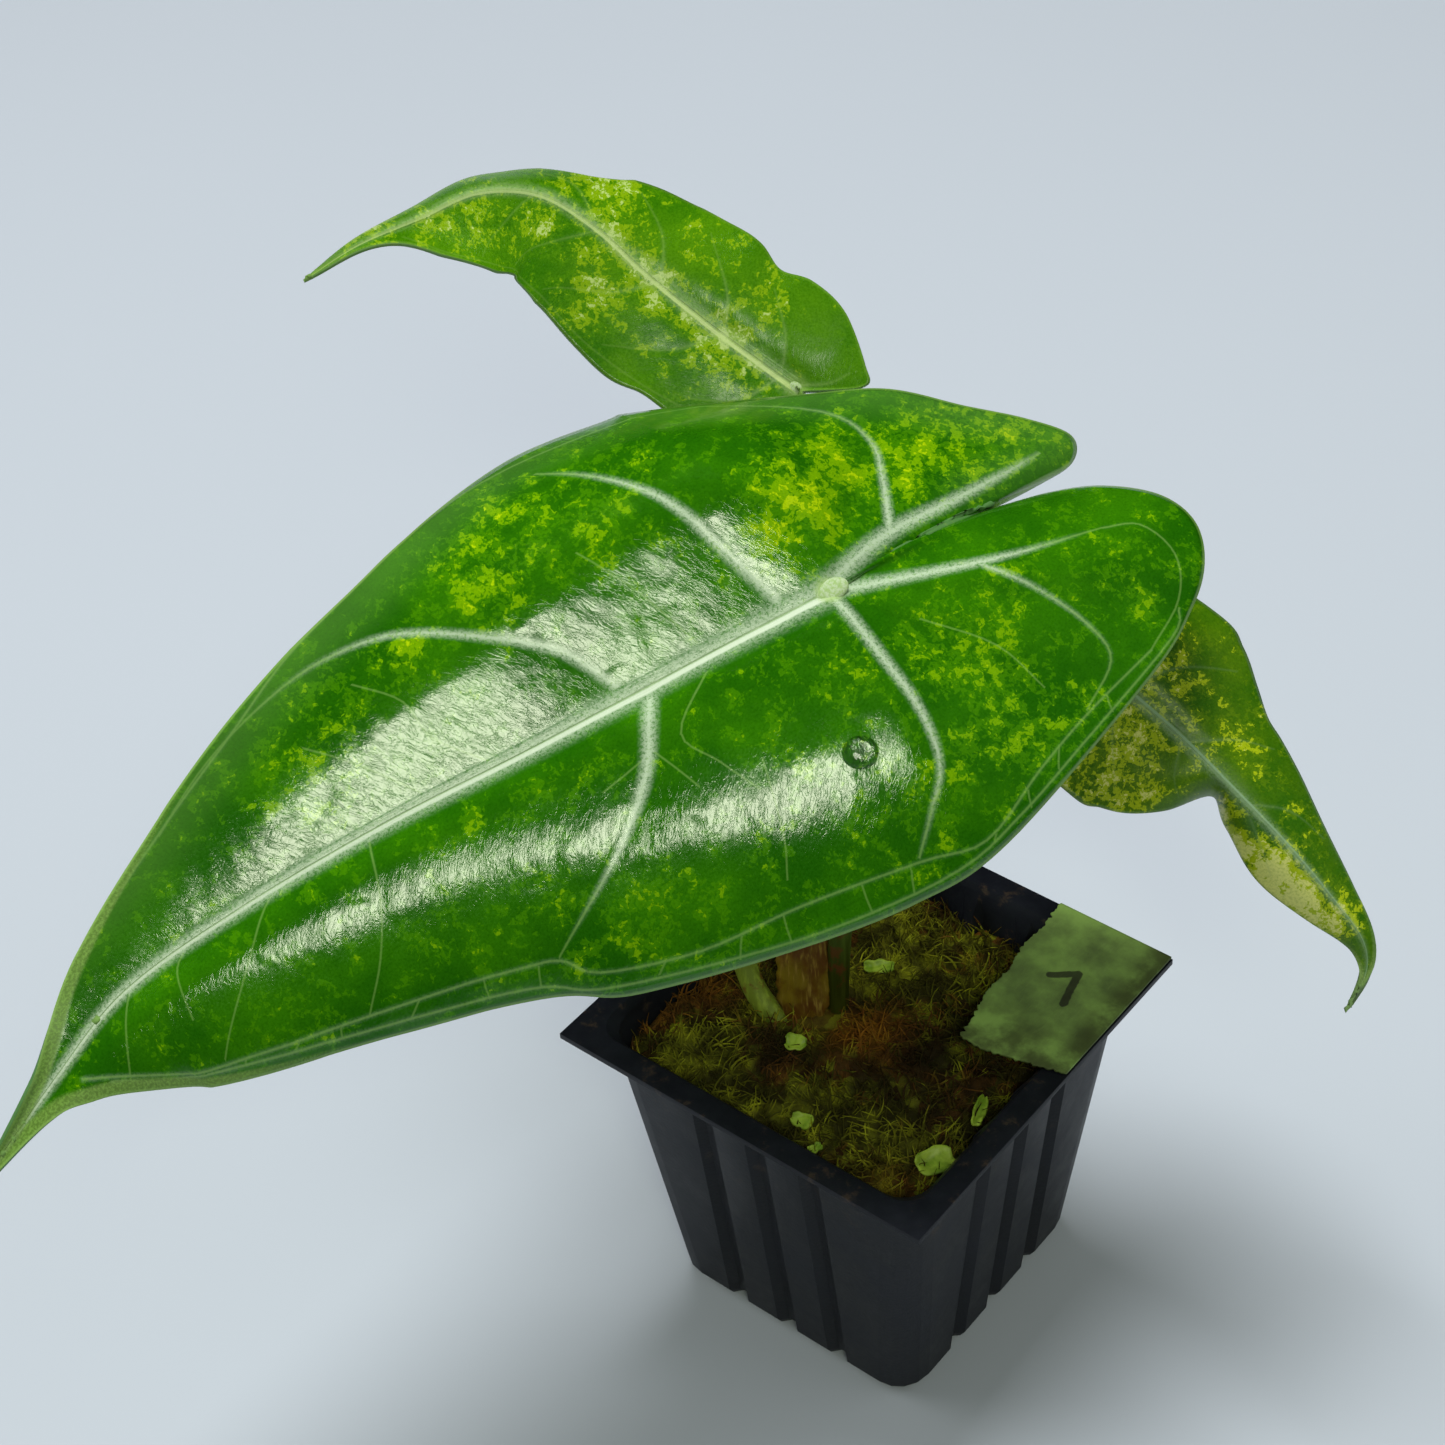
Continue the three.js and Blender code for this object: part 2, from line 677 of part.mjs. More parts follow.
const plasticBlack = { color: 0x2b3036, roughness: 0.5, metalness: 0 };
const mossBrown = { color: 0x4a4213, roughness: 1, metalness: 0 };
const tapeGreen = { color: 0x6f9a3a, roughness: 0.7, metalness: 0 };
const stemGreen = { color: 0x62742f, roughness: 0.55, metalness: 0 };
const dryBrown = { color: 0x5b3413, roughness: 0.8, metalness: 0 };
const bladeGreen = { color: 0x1f7a12, roughness: 0.3, metalness: 0 };
const bladeLime = { color: 0x5c8f1c, roughness: 0.35, metalness: 0 };
const bladeCream = { color: 0x7a8f2c, roughness: 0.35, metalness: 0 };

const plant = new THREE.Group();

function addPiece(name, geometry, finish) {
  const mesh = new THREE.Mesh(geometry, new THREE.MeshStandardMaterial(finish));
  mesh.name = name;
  plant.add(mesh);
}

const crown = toSolid(crownGeometry());
const crownRoom = toSolid(crownGeometry(seat));
let sheath = toSolid(sheathGeometry()).subtract(crownRoom);
let moss = mossSolid().subtract(crownRoom).subtract(toSolid(sheathGeometry(seat)));

const leaves = [
  { name: 'leaf_large', leaf: largeLeaf, stem: largePetiole, rows: 43, finish: bladeGreen },
  { name: 'leaf_back', leaf: backLeaf, stem: backPetiole, rows: 29, finish: bladeLime },
  { name: 'leaf_right', leaf: rightLeaf, stem: rightPetiole, rows: 30, finish: bladeCream },
];

for (const { name, leaf, stem, rows, finish } of leaves) {
  const bladeRoom = toSolid(bladeGeometry(leaf, rows, seat));
  const petiole = toSolid(stemGeometry(stem)).subtract(bladeRoom).subtract(crownRoom);
  const petioleRoom = toSolid(stemGeometry(stem, seat));
  moss = largestBody(moss.subtract(petioleRoom));
  sheath = largestBody(sheath.subtract(petioleRoom));
  addPiece(`${name}_blade`, bladeGeometry(leaf, rows), finish);
  addPiece(`${name}_petiole`, fromSolid(petiole), stemGreen);
}

addPiece('pot', fromSolid(potSolid()), plasticBlack);
addPiece('moss', fromSolid(moss), mossBrown);
addPiece('crown', fromSolid(crown), stemGreen);
addPiece('old_sheath', fromSolid(sheath), dryBrown);
addPiece('tape_label', tapeGeometry(), tapeGreen);

export default plant;
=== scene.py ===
import math
import random
from functools import partial

import bpy
import bmesh
import numpy as np
from mathutils import Matrix, Vector, noise


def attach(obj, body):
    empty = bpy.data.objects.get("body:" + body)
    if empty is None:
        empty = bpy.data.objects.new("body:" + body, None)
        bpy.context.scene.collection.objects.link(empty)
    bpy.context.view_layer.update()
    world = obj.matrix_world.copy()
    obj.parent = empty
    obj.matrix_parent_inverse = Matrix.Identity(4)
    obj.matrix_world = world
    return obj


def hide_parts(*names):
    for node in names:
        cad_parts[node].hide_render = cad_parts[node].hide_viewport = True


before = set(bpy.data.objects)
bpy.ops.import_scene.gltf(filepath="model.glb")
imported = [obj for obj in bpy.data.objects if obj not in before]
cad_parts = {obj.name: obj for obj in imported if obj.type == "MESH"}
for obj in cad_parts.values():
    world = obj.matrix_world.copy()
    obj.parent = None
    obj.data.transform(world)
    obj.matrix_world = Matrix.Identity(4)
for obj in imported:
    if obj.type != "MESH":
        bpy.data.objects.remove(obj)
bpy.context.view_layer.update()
mm = 0.001

# Helpers for shader trees. They add to the tree that newMaterial or newGroup began last.
canvas = {"tree": None}


def connect(value, target):  # a socket is linked, any other value is set
    if isinstance(value, bpy.types.NodeSocket):
        canvas["tree"].links.new(value, target)
    else:
        target.default_value = value


def addNode(kind, inputs=None, **settings):
    node = canvas["tree"].nodes.new(kind)
    for key, value in settings.items():
        setattr(node, key, value)
    for socket, value in (inputs or {}).items():
        connect(value, node.inputs[socket])
    return node


def calc(operation, *values, clamp=False):
    return addNode("ShaderNodeMath", dict(enumerate(values)), operation=operation, use_clamp=clamp).outputs[0]


def vectorCalc(operation, *values):
    node = addNode("ShaderNodeVectorMath", dict(enumerate(values)), operation=operation)
    return node.outputs["Value" if operation in ("LENGTH", "DOT_PRODUCT") else "Vector"]


plus, minus, times, divide = (partial(calc, kind) for kind in ("ADD", "SUBTRACT", "MULTIPLY", "DIVIDE"))
larger, absolute = partial(calc, "MAXIMUM"), partial(calc, "ABSOLUTE")
stretch = partial(vectorCalc, "MULTIPLY")


def fade(value, start, end, low=0.0, high=1.0, shape="SMOOTHSTEP"):  # from low at start to high at end
    inputs = {"Value": value, "From Min": start, "From Max": end, "To Min": low, "To Max": high}
    return addNode("ShaderNodeMapRange", inputs, interpolation_type=shape).outputs[0]


def blend(share, first, second, mode="MIX"):
    node = addNode("ShaderNodeMix", {0: share}, data_type="RGBA", blend_type=mode, clamp_factor=True)
    for socket, value in ((6, first), (7, second)):
        connect((*value, 1) if isinstance(value, tuple) else value, node.inputs[socket])
    return node.outputs[2]


def layered(colour, *layers):  # each layer: where it is, how strong, and its colour
    for share, strength, over in layers:
        colour = blend(times(share, strength), colour, over)
    return colour


def shade(colour, gain, lift=0.0):
    return tuple(part * gain + lift for part in colour)


def grain(vector, scale, detail=3.0, roughness=0.55, distortion=0.0):
    inputs = {"Vector": vector, "Scale": scale, "Detail": detail}
    inputs.update({"Roughness": roughness, "Distortion": distortion})
    return addNode("ShaderNodeTexNoise", inputs).outputs["Fac"]


def shake(vector, scale, detail, reach):  # the vector, moved about by noise
    moved = addNode("ShaderNodeTexNoise", {"Vector": vector, "Scale": scale, "Detail": detail})
    return vectorCalc("ADD", vector, stretch(moved.outputs["Color"], reach))


def cells(vector, scale, output="Color"):
    return addNode("ShaderNodeTexVoronoi", {"Vector": vector, "Scale": scale}).outputs[output]


def bump(height, distance, **normal):  # distance in mm
    return addNode("ShaderNodeBump", {"Height": height, "Distance": distance * mm, **normal}).outputs[0]


def split(vector):
    return addNode("ShaderNodeSeparateXYZ", {0: vector}).outputs


def objectPlace():
    return addNode("ShaderNodeTexCoord").outputs["Object"]


def uvMap(name):
    return addNode("ShaderNodeUVMap", uv_map=name).outputs[0]


def attribute(name):
    return addNode("ShaderNodeAttribute", attribute_name=name).outputs["Fac"]


def newMaterial(name):
    material = bpy.data.materials.new(name)
    material.use_nodes = True
    canvas["tree"] = material.node_tree
    return material


surface = {"normal": "Normal", "shine": "Specular IOR Level", "ior": "IOR", "clear": "Transmission Weight"}


def paint(material, colour, rough, texture=None, depth=0.0, **others):
    # rough is one value, or those at the low and the high end of the texture. depth is of the texture's bump.
    sockets = material.node_tree.nodes["Principled BSDF"].inputs
    connect(colour, sockets["Base Color"])
    connect(fade(texture, 0.3, 0.7, *rough) if isinstance(rough, tuple) else rough, sockets["Roughness"])
    if depth:
        connect(bump(texture, depth), sockets["Normal"])
    for label, value in others.items():
        connect(value, sockets[surface[label]])
    return material


def speckled(name, scale, colours, rough, depth=0.0, span=None, detail=3.0, roughness=0.55, **others):
    material = newMaterial(name)  # two colours mixed by one noise
    cloud = grain(objectPlace(), scale, detail, roughness)
    colour = blend(fade(cloud, *span) if span else cloud, *colours)
    return paint(material, colour, rough, cloud, depth, **others)


number, vectorKind = "NodeSocketFloat", "NodeSocketVector"


def newGroup(name, outputs, **inputs):  # its outputs are all numbers
    tree = canvas["tree"] = bpy.data.node_groups.new(name, "ShaderNodeTree")
    for label, kind in inputs.items():
        tree.interface.new_socket(name=label, in_out="INPUT", socket_type=kind)
    for label in outputs:
        tree.interface.new_socket(name=label, in_out="OUTPUT", socket_type=number)
    return tree, tree.nodes.new("NodeGroupInput").outputs, tree.nodes.new("NodeGroupOutput").inputs


def useGroup(group, **inputs):
    return addNode("ShaderNodeGroup", inputs, node_tree=group).outputs


# Helpers for meshes
def wander(x, y, z):  # smooth noise from -1 to 1
    return noise.noise(Vector((x, y, z)))


def newGrid(columns, rows, size=1.0):
    bm = bmesh.new()
    bmesh.ops.create_grid(bm, x_segments=columns, y_segments=rows, size=size)
    return bm


def faceAlong(bm, way, alike=True):  # turns the faces over when most of them look against the way
    if not alike:
        bmesh.ops.recalc_face_normals(bm, faces=bm.faces)
    bm.normal_update()
    if sum((face.normal for face in bm.faces), Vector()).dot(way) < 0:
        bmesh.ops.reverse_faces(bm, faces=bm.faces)
        bm.normal_update()


def keepMesh(bm, name, outward=False):
    if outward:
        bmesh.ops.recalc_face_normals(bm, faces=bm.faces)
    mesh = bpy.data.meshes.new(name)
    bm.to_mesh(mesh)
    bm.free()
    return mesh


def addPiece(name, mesh, materials=(), nodes=()):
    piece = bpy.data.objects.new(name, mesh)
    bpy.context.collection.objects.link(piece)
    for material in materials:
        mesh.materials.append(material)
    mesh.shade_smooth()
    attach(piece, "root")
    if nodes:
        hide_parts(*nodes)
    return piece


def thicken(piece, thickness, offset=-1, material=0):  # material: steps to the one of the back and the rim
    shell = piece.modifiers.new("thickness", "SOLIDIFY")
    shell.thickness, shell.offset = thickness * mm, offset
    shell.material_offset = shell.material_offset_rim = material


# Camera at the photograph's place, in mm
camera = {
    "place": (203.15, -264.19, 421.99), "right": (0.781, 0.622, -0.054), "up": (-0.380, 0.541, 0.750),
    "lens": 70.55, "sensor": 36, "clip": (0.01, 20),
}


def makeCamera():
    data = bpy.data.cameras.new("camera")
    data.lens, data.sensor_width = camera["lens"], camera["sensor"]
    data.clip_start, data.clip_end = camera["clip"]
    right = Vector(camera["right"]).normalized()
    back = right.cross(Vector(camera["up"])).normalized()
    turn = Matrix((right, back.cross(right), back)).transposed().to_4x4()
    holder = bpy.data.objects.new("camera", data)
    holder.matrix_world = Matrix.Translation(Vector(camera["place"]) * mm) @ turn
    bpy.context.collection.objects.link(holder)
    bpy.context.scene.camera = holder


# Lights: aim in mm, azimuth and elevation in degrees, distance and size in m, power and colour.
# The fill lights only brighten. The window alone shows as a gleam.
white = (1, 1, 1)
lights = {
    "window": ((-20, -20, 130), -43.4, 42.5, 1.1, 0.23, 2.5, (0.95, 1.0, 0.76)),
    "ceiling": ((0, 0, 60), 150, 80, 1.5, 0.6, 20.5, white),
    "leftSide": ((0, 0, 60), -158, 30, 1.8, 1.2, 8.5, white),
    "rightSide": ((0, 0, 60), 30, 35, 1.8, 1.4, 3.3, white),
}
sky = {"colour": (0.93, 0.97, 1.0), "strength": 0.16}


def makeLights():
    for name, (aim, azimuth, elevation, distance, size, power, colour) in lights.items():
        data = bpy.data.lights.new(name, "AREA")
        data.shape, data.size, data.energy, data.color = "DISK", size, power, colour
        around, above = math.radians(azimuth), math.radians(elevation)
        flat = math.cos(above)
        away = Vector((flat * math.cos(around), flat * math.sin(around), math.sin(above)))
        lamp = bpy.data.objects.new(name, data)
        turn = away.to_track_quat("Z", "Y").to_matrix().to_4x4()
        lamp.matrix_world = Matrix.Translation(Vector(aim) * mm + away * distance) @ turn
        lamp.visible_glossy = name == "window"
        bpy.context.collection.objects.link(lamp)
    world = bpy.data.worlds.new("sky")
    world.use_nodes = True
    background = world.node_tree.nodes["Background"].inputs
    background["Color"].default_value = (*sky["colour"], 1)
    background["Strength"].default_value = sky["strength"]
    world.cycles_visibility.glossy = False
    bpy.context.scene.world = world
    bpy.context.scene.view_settings.view_transform = "Standard"


floor = {"half": 3.0, "colour": (0.51, 0.56, 0.615), "darker": 0.97, "roughness": 0.75, "cloud": 3.0}


def makeFloor():
    ground = bpy.data.objects.new("floor", keepMesh(newGrid(1, 1, floor["half"]), "floor"))
    colours = floor["colour"], shade(floor["colour"], floor["darker"])
    ground.data.materials.append(speckled("paleFloor", floor["cloud"], colours, floor["roughness"]))
    bpy.context.collection.objects.link(ground)


makeCamera()
makeLights()
makeFloor()
print("camera, light and floor are set")

# Each leaf is laid out flat, in mm, and then bent along its midrib.
plainLeaf = {"shrink": 1, "thickness": 0.6, "channel": (1.2, 1.2), "arch": (0, 0), "ridge": 0, "rungs": ()}

# stations: distance along the midrib, its point there, and the direction across the blade.
# ribs: where a rib starts on the midrib, then flat place and height of its end on either margin.
largeLeaf = plainLeaf | {
    "shrink": 0.9985, "channel": (0.1, 3), "arch": (0, 0.1), "ridge": 2.2,
    "facet": {"slope": 0.28, "growFrom": -20, "growOver": 30, "fadeFrom": 12.5, "fadeOver": 110,
              "flatShare": 0.38},
    "stations": (
        (0, -2, -4, 156.5, 0.82, -0.31, -0.48), (25, -14, -25, 150, 0.83, -0.29, -0.48),
        (50, -25.5, -46.5, 144, 0.78, -0.28, -0.56), (75, -37, -67.5, 138.5, 0.75, -0.22, -0.62),
        (100, -47.5, -89.5, 132, 0.76, -0.13, -0.63), (120, -54.5, -107, 125.5, 0.81, 0.07, -0.59),
        (135, -56.5, -120, 118, 0.82, 0.23, -0.52), (157, -59, -138, 105.5, 0.81, 0.24, -0.53),
    ),
    "ribs": (
        (0, -30, -5, -17.5, -30, -5, -17.5), (0, -41, -7.5, -25.5, -41, -4, -21.5),
        (0, -48.5, -9.5, -29.5, -49, -1, -22), (0, -50.5, -13.5, -29.5, -55.5, 5, -20.5),
        (0, -45, -18.5, -26.5, -57.5, 12, -18.5), (0, -36.5, -24, -22.5, -55, 19, -17),
        (0, -26.5, -31, -18.5, -49, 25, -16), (0, -14, -35.5, -15.5, -37.5, 32, -13),
        (0, 10.5, -44, -11.5, -5.5, 45, -8), (2, 16, -45, -10.5, 11, 46.5, -8),
        (18, 31.5, -45, -8, 31, 44, -7.5), (41, 52.5, -38.5, -4, 53, 39, -5.5),
        (54, 64, -34, -2.5, 64, 34, -4), (80, 87.5, -24.5, -0.5, 88.5, 28, -2),
        (115, 118, -10, -0.5, 120.5, 18.5, 0), (132, 133, -4, 0.5, 134, 7, 1),
        (140, 140.5, -2, 1, 141, 3, 1), (157, 157, 0, 0, 157, 0, 0),
    ),
    "cells": (120, 330), "midribHalfWidth": (1.9, 0.4),
    # Veins: half width at the root and at the end, in mm, then the flat places it passes
    "veins": {
        "lobeOne": (1.1, 0.3, ((-0.6, -1.2), (-13, -5.5), (-25, -7.5), (-35, -9.5), (-43, -11.5))),
        "lobeOneBranch": (0.55, 0.18, ((-13.5, -5.8), (-17, -14.7), (-18.7, -22), (-14.5, -30),
                                       (1.9, -39.8))),
        "lobeTwo": (0.95, 0.15, ((-1, 0.3), (-16.5, 4), (-29, 6.2), (-43, 7.4))),
        "lobeTwoLoop": (0.2, 0.14, ((-43, 7.4), (-49, 9.3), (-51.3, 16), (-48, 22.7), (-39.7, 28.3))),
        "lobeTwoBranch": (0.42, 0.16, ((-23, 5.9), (-29, 13.3), (-33, 21.2), (-33.3, 27.2), (-26, 32.5))),
        "nearOne": (0.72, 0.22, ((0, 1.5), (-1.7, 13), (-2.9, 22.9), (-1.6, 31.2), (3, 36.8), (7.6, 41.5))),
        "nearTwo": (0.9, 0.16, ((31.4, 2.1), (37, 11.7), (44, 18.4), (50.6, 23), (60.6, 29.4))),
        "nearThree": (0.2, 0.12, ((78, 1), (80.9, 9.8), (85.3, 17.2), (91, 23.2))),
        "farOne": (0.85, 0.2, ((7.5, -2.5), (11.2, -12.8), (13.8, -20), (17.4, -26.3), (24, -34), (30, -39))),
        "farTwo": (0.7, 0.06, ((34.7, -2.2), (39.4, -10.3), (47.7, -17), (60, -24), (70.3, -25.8),
                               (80, -24.7), (92, -21), (103, -15.5))),
        "hemInner": (0.28, 0.2, ((133, 3.5), (123, 14.3), (108, 19.4), (89, 23.8), (66.5, 28.2), (60.4, 29.9),
                                 (56, 33.9), (42.4, 37.9), (26.5, 39.3), (7.7, 41.8), (-2.7, 43.4),
                                 (-15, 37.6), (-25.6, 33.1), (-39.7, 28.3))),
        "hemOuter": (0.28, 0.2, ((131, 7), (123.6, 14.8), (102, 22.4), (81, 28), (65, 31.9), (57, 36),
                                 (40.7, 40.6), (22.2, 44.2), (2.8, 45.3), (-9.2, 42.2), (-22.5, 36.9),
                                 (-43.6, 27.9), (-47.6, 23.6))),
        "farHem": (0.25, 0.2, ((134, -1.8), (129, -3.3), (118, -9), (90, -21.5), (72.8, -30.2), (42.4, -41.5),
                               (20, -42.5), (2, -39.8))),
        "farThree": (0.25, 0.12, ((57, -1.5), (62.9, -8), (64.4, -14.6), (69.6, -20.2))),
        "farFour": (0.2, 0.12, ((21, -2), (25, -12), (28.4, -18.3), (30.6, -22.1))),
        "farFive": (0.2, 0.12, ((68, -1.5), (74.9, -10.2), (80, -15.6))),
        "nearFour": (0.14, 0.1, ((93, 0.8), (96, 2.2), (105, 10), (114.2, 17.2))),
        "nearFive": (0.14, 0.1, ((109, 0.8), (111.7, 3.1), (113.9, 9.6))),
        "nearSix": (0.14, 0.1, ((119, 0.8), (121, 2.3), (129.4, 9.2))),
        "nearTwoA": (0.16, 0.1, ((36, 10), (40, 10.8), (44.6, 11.6))),
        "nearTwoB": (0.16, 0.1, ((35, 9.5), (33, 14), (31.3, 18.1))),
        "nearTwoC": (0.18, 0.1, ((22, 3), (30, 9.5), (27, 16), (23.6, 22.4))),
        "nearSeven": (0.14, 0.1, ((21, 18), (23.7, 29.4), (26.4, 35.3))),
        "lobeTwoC": (0.14, 0.1, ((-10, 10), (-18.4, 18.2), (-22, 27.3))),
    },
    # Short cross lines between the two hem veins, by their distance along the blade
    "rungs": (118, 111, 102, 95, 84, 72, 64, 48, 36, 29, 16, 9, -5, -12, -19, -30),
    # Paler patches: flat place, radius in mm and strength
    "patches": ((-2.5, -14, 8, 0.95), (3, -11, 6, 0.9), (-11, -20, 8, 0.6), (-22, -17, 9, 0.75),
                (-31, -17, 9, 0.7), (-40, -17, 8, 0.6), (46, -25.5, 8, 0.6), (38, -31, 9, 0.45),
                (24, -27, 9, 0.4), (61, -21.5, 4, 0.6), (80, -12, 9, 0.45), (-15, 19, 9, 0.5),
                (-24, 12, 7, 0.3), (-43, 13, 8, 0.15), (2.6, 13.5, 6, 0.4), (3, 33, 12, 0.3),
                (-14, 30, 10, 0.4), (44, 29.5, 10, 0.25), (60, 18, 10, 0.2), (15, 25, 10, 0.2)),
}

backLeaf = plainLeaf | {
    "stations": (
        (0, -37, 33.5, 158.5, -0.18, -0.73, -0.66), (15, -50, 30.5, 166, -0.24, -0.75, -0.62),
        (30, -62.5, 28, 174, -0.3, -0.76, -0.57), (42, -72, 26.5, 180.5, -0.23, -0.74, -0.63),
        (52, -80.5, 23.5, 185, 0.05, -0.61, -0.79), (62, -87.5, 16.5, 186.5, 0.43, -0.28, -0.86),
        (72, -92.5, 8, 184.5, 0.55, -0.12, -0.82), (83, -97, -2, 183, 0.61, -0.02, -0.79),
        (94, -100, -12, 180.5, 0.64, 0.02, -0.77),
    ),
    "ribs": (
        (0, -1.5, 0, 0.5, -1.5, 0, 0.5), (0, -9, -6.5, 2, -9, 7.5, 2),
        (0, -7, -9.5, 1.5, -6.5, 12, 2.5), (0, 0.5, -14.5, -0.5, 4, 15.5, 3),
        (3, 7.5, -15.5, -2, 7.5, 15.5, 3), (8, 13, -14, -3, 12.5, 15.5, 3.5),
        (14, 18.5, -15.5, -4, 18.5, 15.5, 4), (20, 24.5, -15, -5.5, 25, 17, 4.5),
        (34, 37.5, -12, -9, 38.5, 15.5, 6.5), (48, 49.5, -5.5, -12, 52.5, 15, 8),
        (55, 56, -3, -11, 59.5, 14.5, 8), (62, 62.5, -2.5, -9, 66, 13, 8),
        (77, 77.5, -1.5, -4, 77.5, 2.5, 2.5), (94, 94, 0, 0, 94, 0, 0),
    ),
    "cells": (72, 190), "midribHalfWidth": (1.3, 0.25),
    "veins": {
        "upperOne": (0.4, 0.15, ((3, -0.5), (6, -6), (12, -11))),
        "upperTwo": (0.4, 0.15, ((14, -0.5), (18, -6), (26, -11.5))),
        "upperThree": (0.35, 0.15, ((27, -0.5), (32, -6), (40, -9))),
        "upperFour": (0.3, 0.12, ((42, -0.5), (48, -3.5), (54, -3))),
        "lowerOne": (0.4, 0.15, ((3, 0.5), (6, 7), (13, 12))),
        "lowerTwo": (0.4, 0.15, ((15, 0.5), (19, 7), (28, 13.5))),
        "lowerThree": (0.35, 0.15, ((28, 0.5), (33, 7), (42, 13))),
        "lowerFour": (0.3, 0.12, ((41, 0.5), (47, 7), (55, 12))),
        "lowerFive": (0.25, 0.12, ((53, 0.5), (59, 6), (66, 10))),
        "lobeUpper": (0.4, 0.2, ((0, -0.3), (-4, -3.5), (-6, -7))),
        "lobeLower": (0.4, 0.2, ((0, 0.3), (-4, 4), (-4, 9))),
        "hemLower": (0.2, 0.15, ((-4, 9), (13, 13.5), (28, 15), (42, 14), (55, 13), (66, 11), (76, 2))),
    },
    "eased": (42, 72, 4, 60, 0.22),  # from, to, beyond, how often, and by how much less each time
    "patches": ((28, 1, 6, 1.0), (38, 0, 6, 0.9), (14, 1, 7, 0.85), (8, 1.5, 3, 0.9), (20, 1.5, 3, 0.9),
                (12, -8, 6, 0.5), (26, -9, 6, 0.5), (44, -5, 7, 0.8), (50, 4, 6, 0.6), (62, 4, 7, 0.6),
                (34, 9, 6, 0.75), (22, 10, 5, 0.4), (72, 3, 7, 0.6), (80, 0, 6, 0.6), (4, 5, 5, 0.6)),
}

rightLeaf = plainLeaf | {
    "shrink": 0.996,
    "stations": (
        (0, 16.5, 32.5, 131, 0.24, 0.75, 0.61), (12, 26.5, 34, 125, 0.24, 0.75, 0.61),
        (24, 37, 35, 119, 0.29, 0.76, 0.59), (36, 47.5, 34.5, 113.5, 0.27, 0.76, 0.6),
        (48, 58, 34, 107.5, 0.4, 0.75, 0.53), (60, 67.5, 34, 100, 0.44, 0.74, 0.5),
        (68, 73, 34, 94.5, 0.6, 0.7, 0.4), (73, 75, 32.5, 90, 0.95, 0.3, -0.1),
        (80.5, 75, 27, 85, 0.96, 0.22, -0.18),
    ),
    "ribs": (
        (0, -1.5, 0, 0, -1.5, 0, 0), (0, -6, -3, 0.5, -6, 3.5, -2), (0, -10, -7, 1.5, -10, 7, -4.5),
        (0, -7.5, -12, 3.5, -8.5, 12, -7), (0, 2, -17, 6.5, 1, 17, -9.5),
        (14, 17.5, -18, 7.5, 17.5, 19, -9.5), (19, 22.5, -16.5, 6, 22.5, 17.5, -9.5),
        (24, 27, -14.5, 3.5, 27, 14.5, -8.5), (29, 31, -10, -1, 31.5, 12, -7.5),
        (34, 34.5, -3, -6.5, 36, 11, -7), (39, 40, -5, -7, 41, 9.5, -6.5),
        (51, 52.5, -7, -4.5, 52, 6, -5), (73, 73, -1, 0, 73, 1, 0), (80.5, 80.5, 0, 0, 80.5, 0, 0),
    ),
    "cells": (72, 180), "midribHalfWidth": (1.0, 0.25),
    "veins": {
        "lowerOne": (0.4, 0.15, ((3, -0.5), (6, -7), (12, -14))),
        "lowerTwo": (0.4, 0.15, ((12, -0.5), (16, -7), (22, -13))),
        "lowerThree": (0.3, 0.12, ((25, -0.5), (28, -5), (31, -7))),
        "lowerFour": (0.3, 0.12, ((40, -0.5), (46, -3), (51, -5))),
        "upperOne": (0.4, 0.15, ((3, 0.5), (6, 8), (12, 15))),
        "upperTwo": (0.4, 0.15, ((13, 0.5), (17, 8), (24, 14))),
        "upperThree": (0.35, 0.12, ((26, 0.5), (31, 6), (36, 9))),
        "upperFour": (0.3, 0.12, ((40, 0.5), (45, 4), (52, 5))),
        "lobeLower": (0.4, 0.2, ((0, -0.3), (-4, -4), (-6, -8))),
        "lobeUpper": (0.4, 0.2, ((0, 0.3), (-4, 4), (-6, 8))),
    },
    "patches": ((18, -5, 10, 0.75), (12, -13, 9, 0.8), (24, -11, 8, 0.75), (16, 6, 8, 0.6), (27, 3, 5, 0.5),
                (38, -5, 4, 1.1), (44, -5.5, 4, 1.2), (51, -4.5, 5, 1.6), (56, -4, 4, 1.6),
                (62, -2.5, 4, 1.3), (8, 10, 7, 0.5), (32, 6, 6, 0.35)),
}


def along(rows, t):  # cubic curve through rows (t, a, b, ...), carried on straight past both ends
    rows = np.array(rows, float)
    knots, values = rows[:, 0], rows[:, 1:]
    last = len(knots) - 1
    before = np.maximum(np.arange(last + 1) - 1, 0)
    after = np.minimum(np.arange(last + 1) + 1, last)
    slopes = (values[after] - values[before]) / (knots[after] - knots[before])[:, None]
    k = np.clip(np.searchsorted(knots, t, side="right") - 1, 0, last - 1)
    step = (knots[k + 1] - knots[k])[:, None]
    u = (t - knots[k])[:, None] / step
    start = 2 * u ** 3 - 3 * u ** 2 + 1
    result = start * values[k] + (u ** 3 - 2 * u ** 2 + u) * step * slopes[k]
    result += (1 - start) * values[k + 1] + (u ** 3 - u ** 2) * step * slopes[k + 1]
    low, high = t < knots[0], t > knots[last]
    result[low] = values[0] + (t[low] - knots[0])[:, None] * slopes[0]
    result[high] = values[last] + (t[high] - knots[last])[:, None] * slopes[last]
    return result


def smoothStep(x):
    x = np.clip(x, 0, 1)
    return x * x * (3 - 2 * x)


def unit(v):
    return v / np.linalg.norm(v, axis=-1, keepdims=True)


# Steps along the curves, and sizes in mm that the leaves' meshes are built with
build = {"halfStep": 0.5, "midribSteps": 24, "veinSteps": 5, "hemSteps": 12, "marginSteps": 160,
         "evenSteps": 4000, "crowding": 1.4, "weld": 0.02, "sliver": 0.005, "facingAt": 30.0}


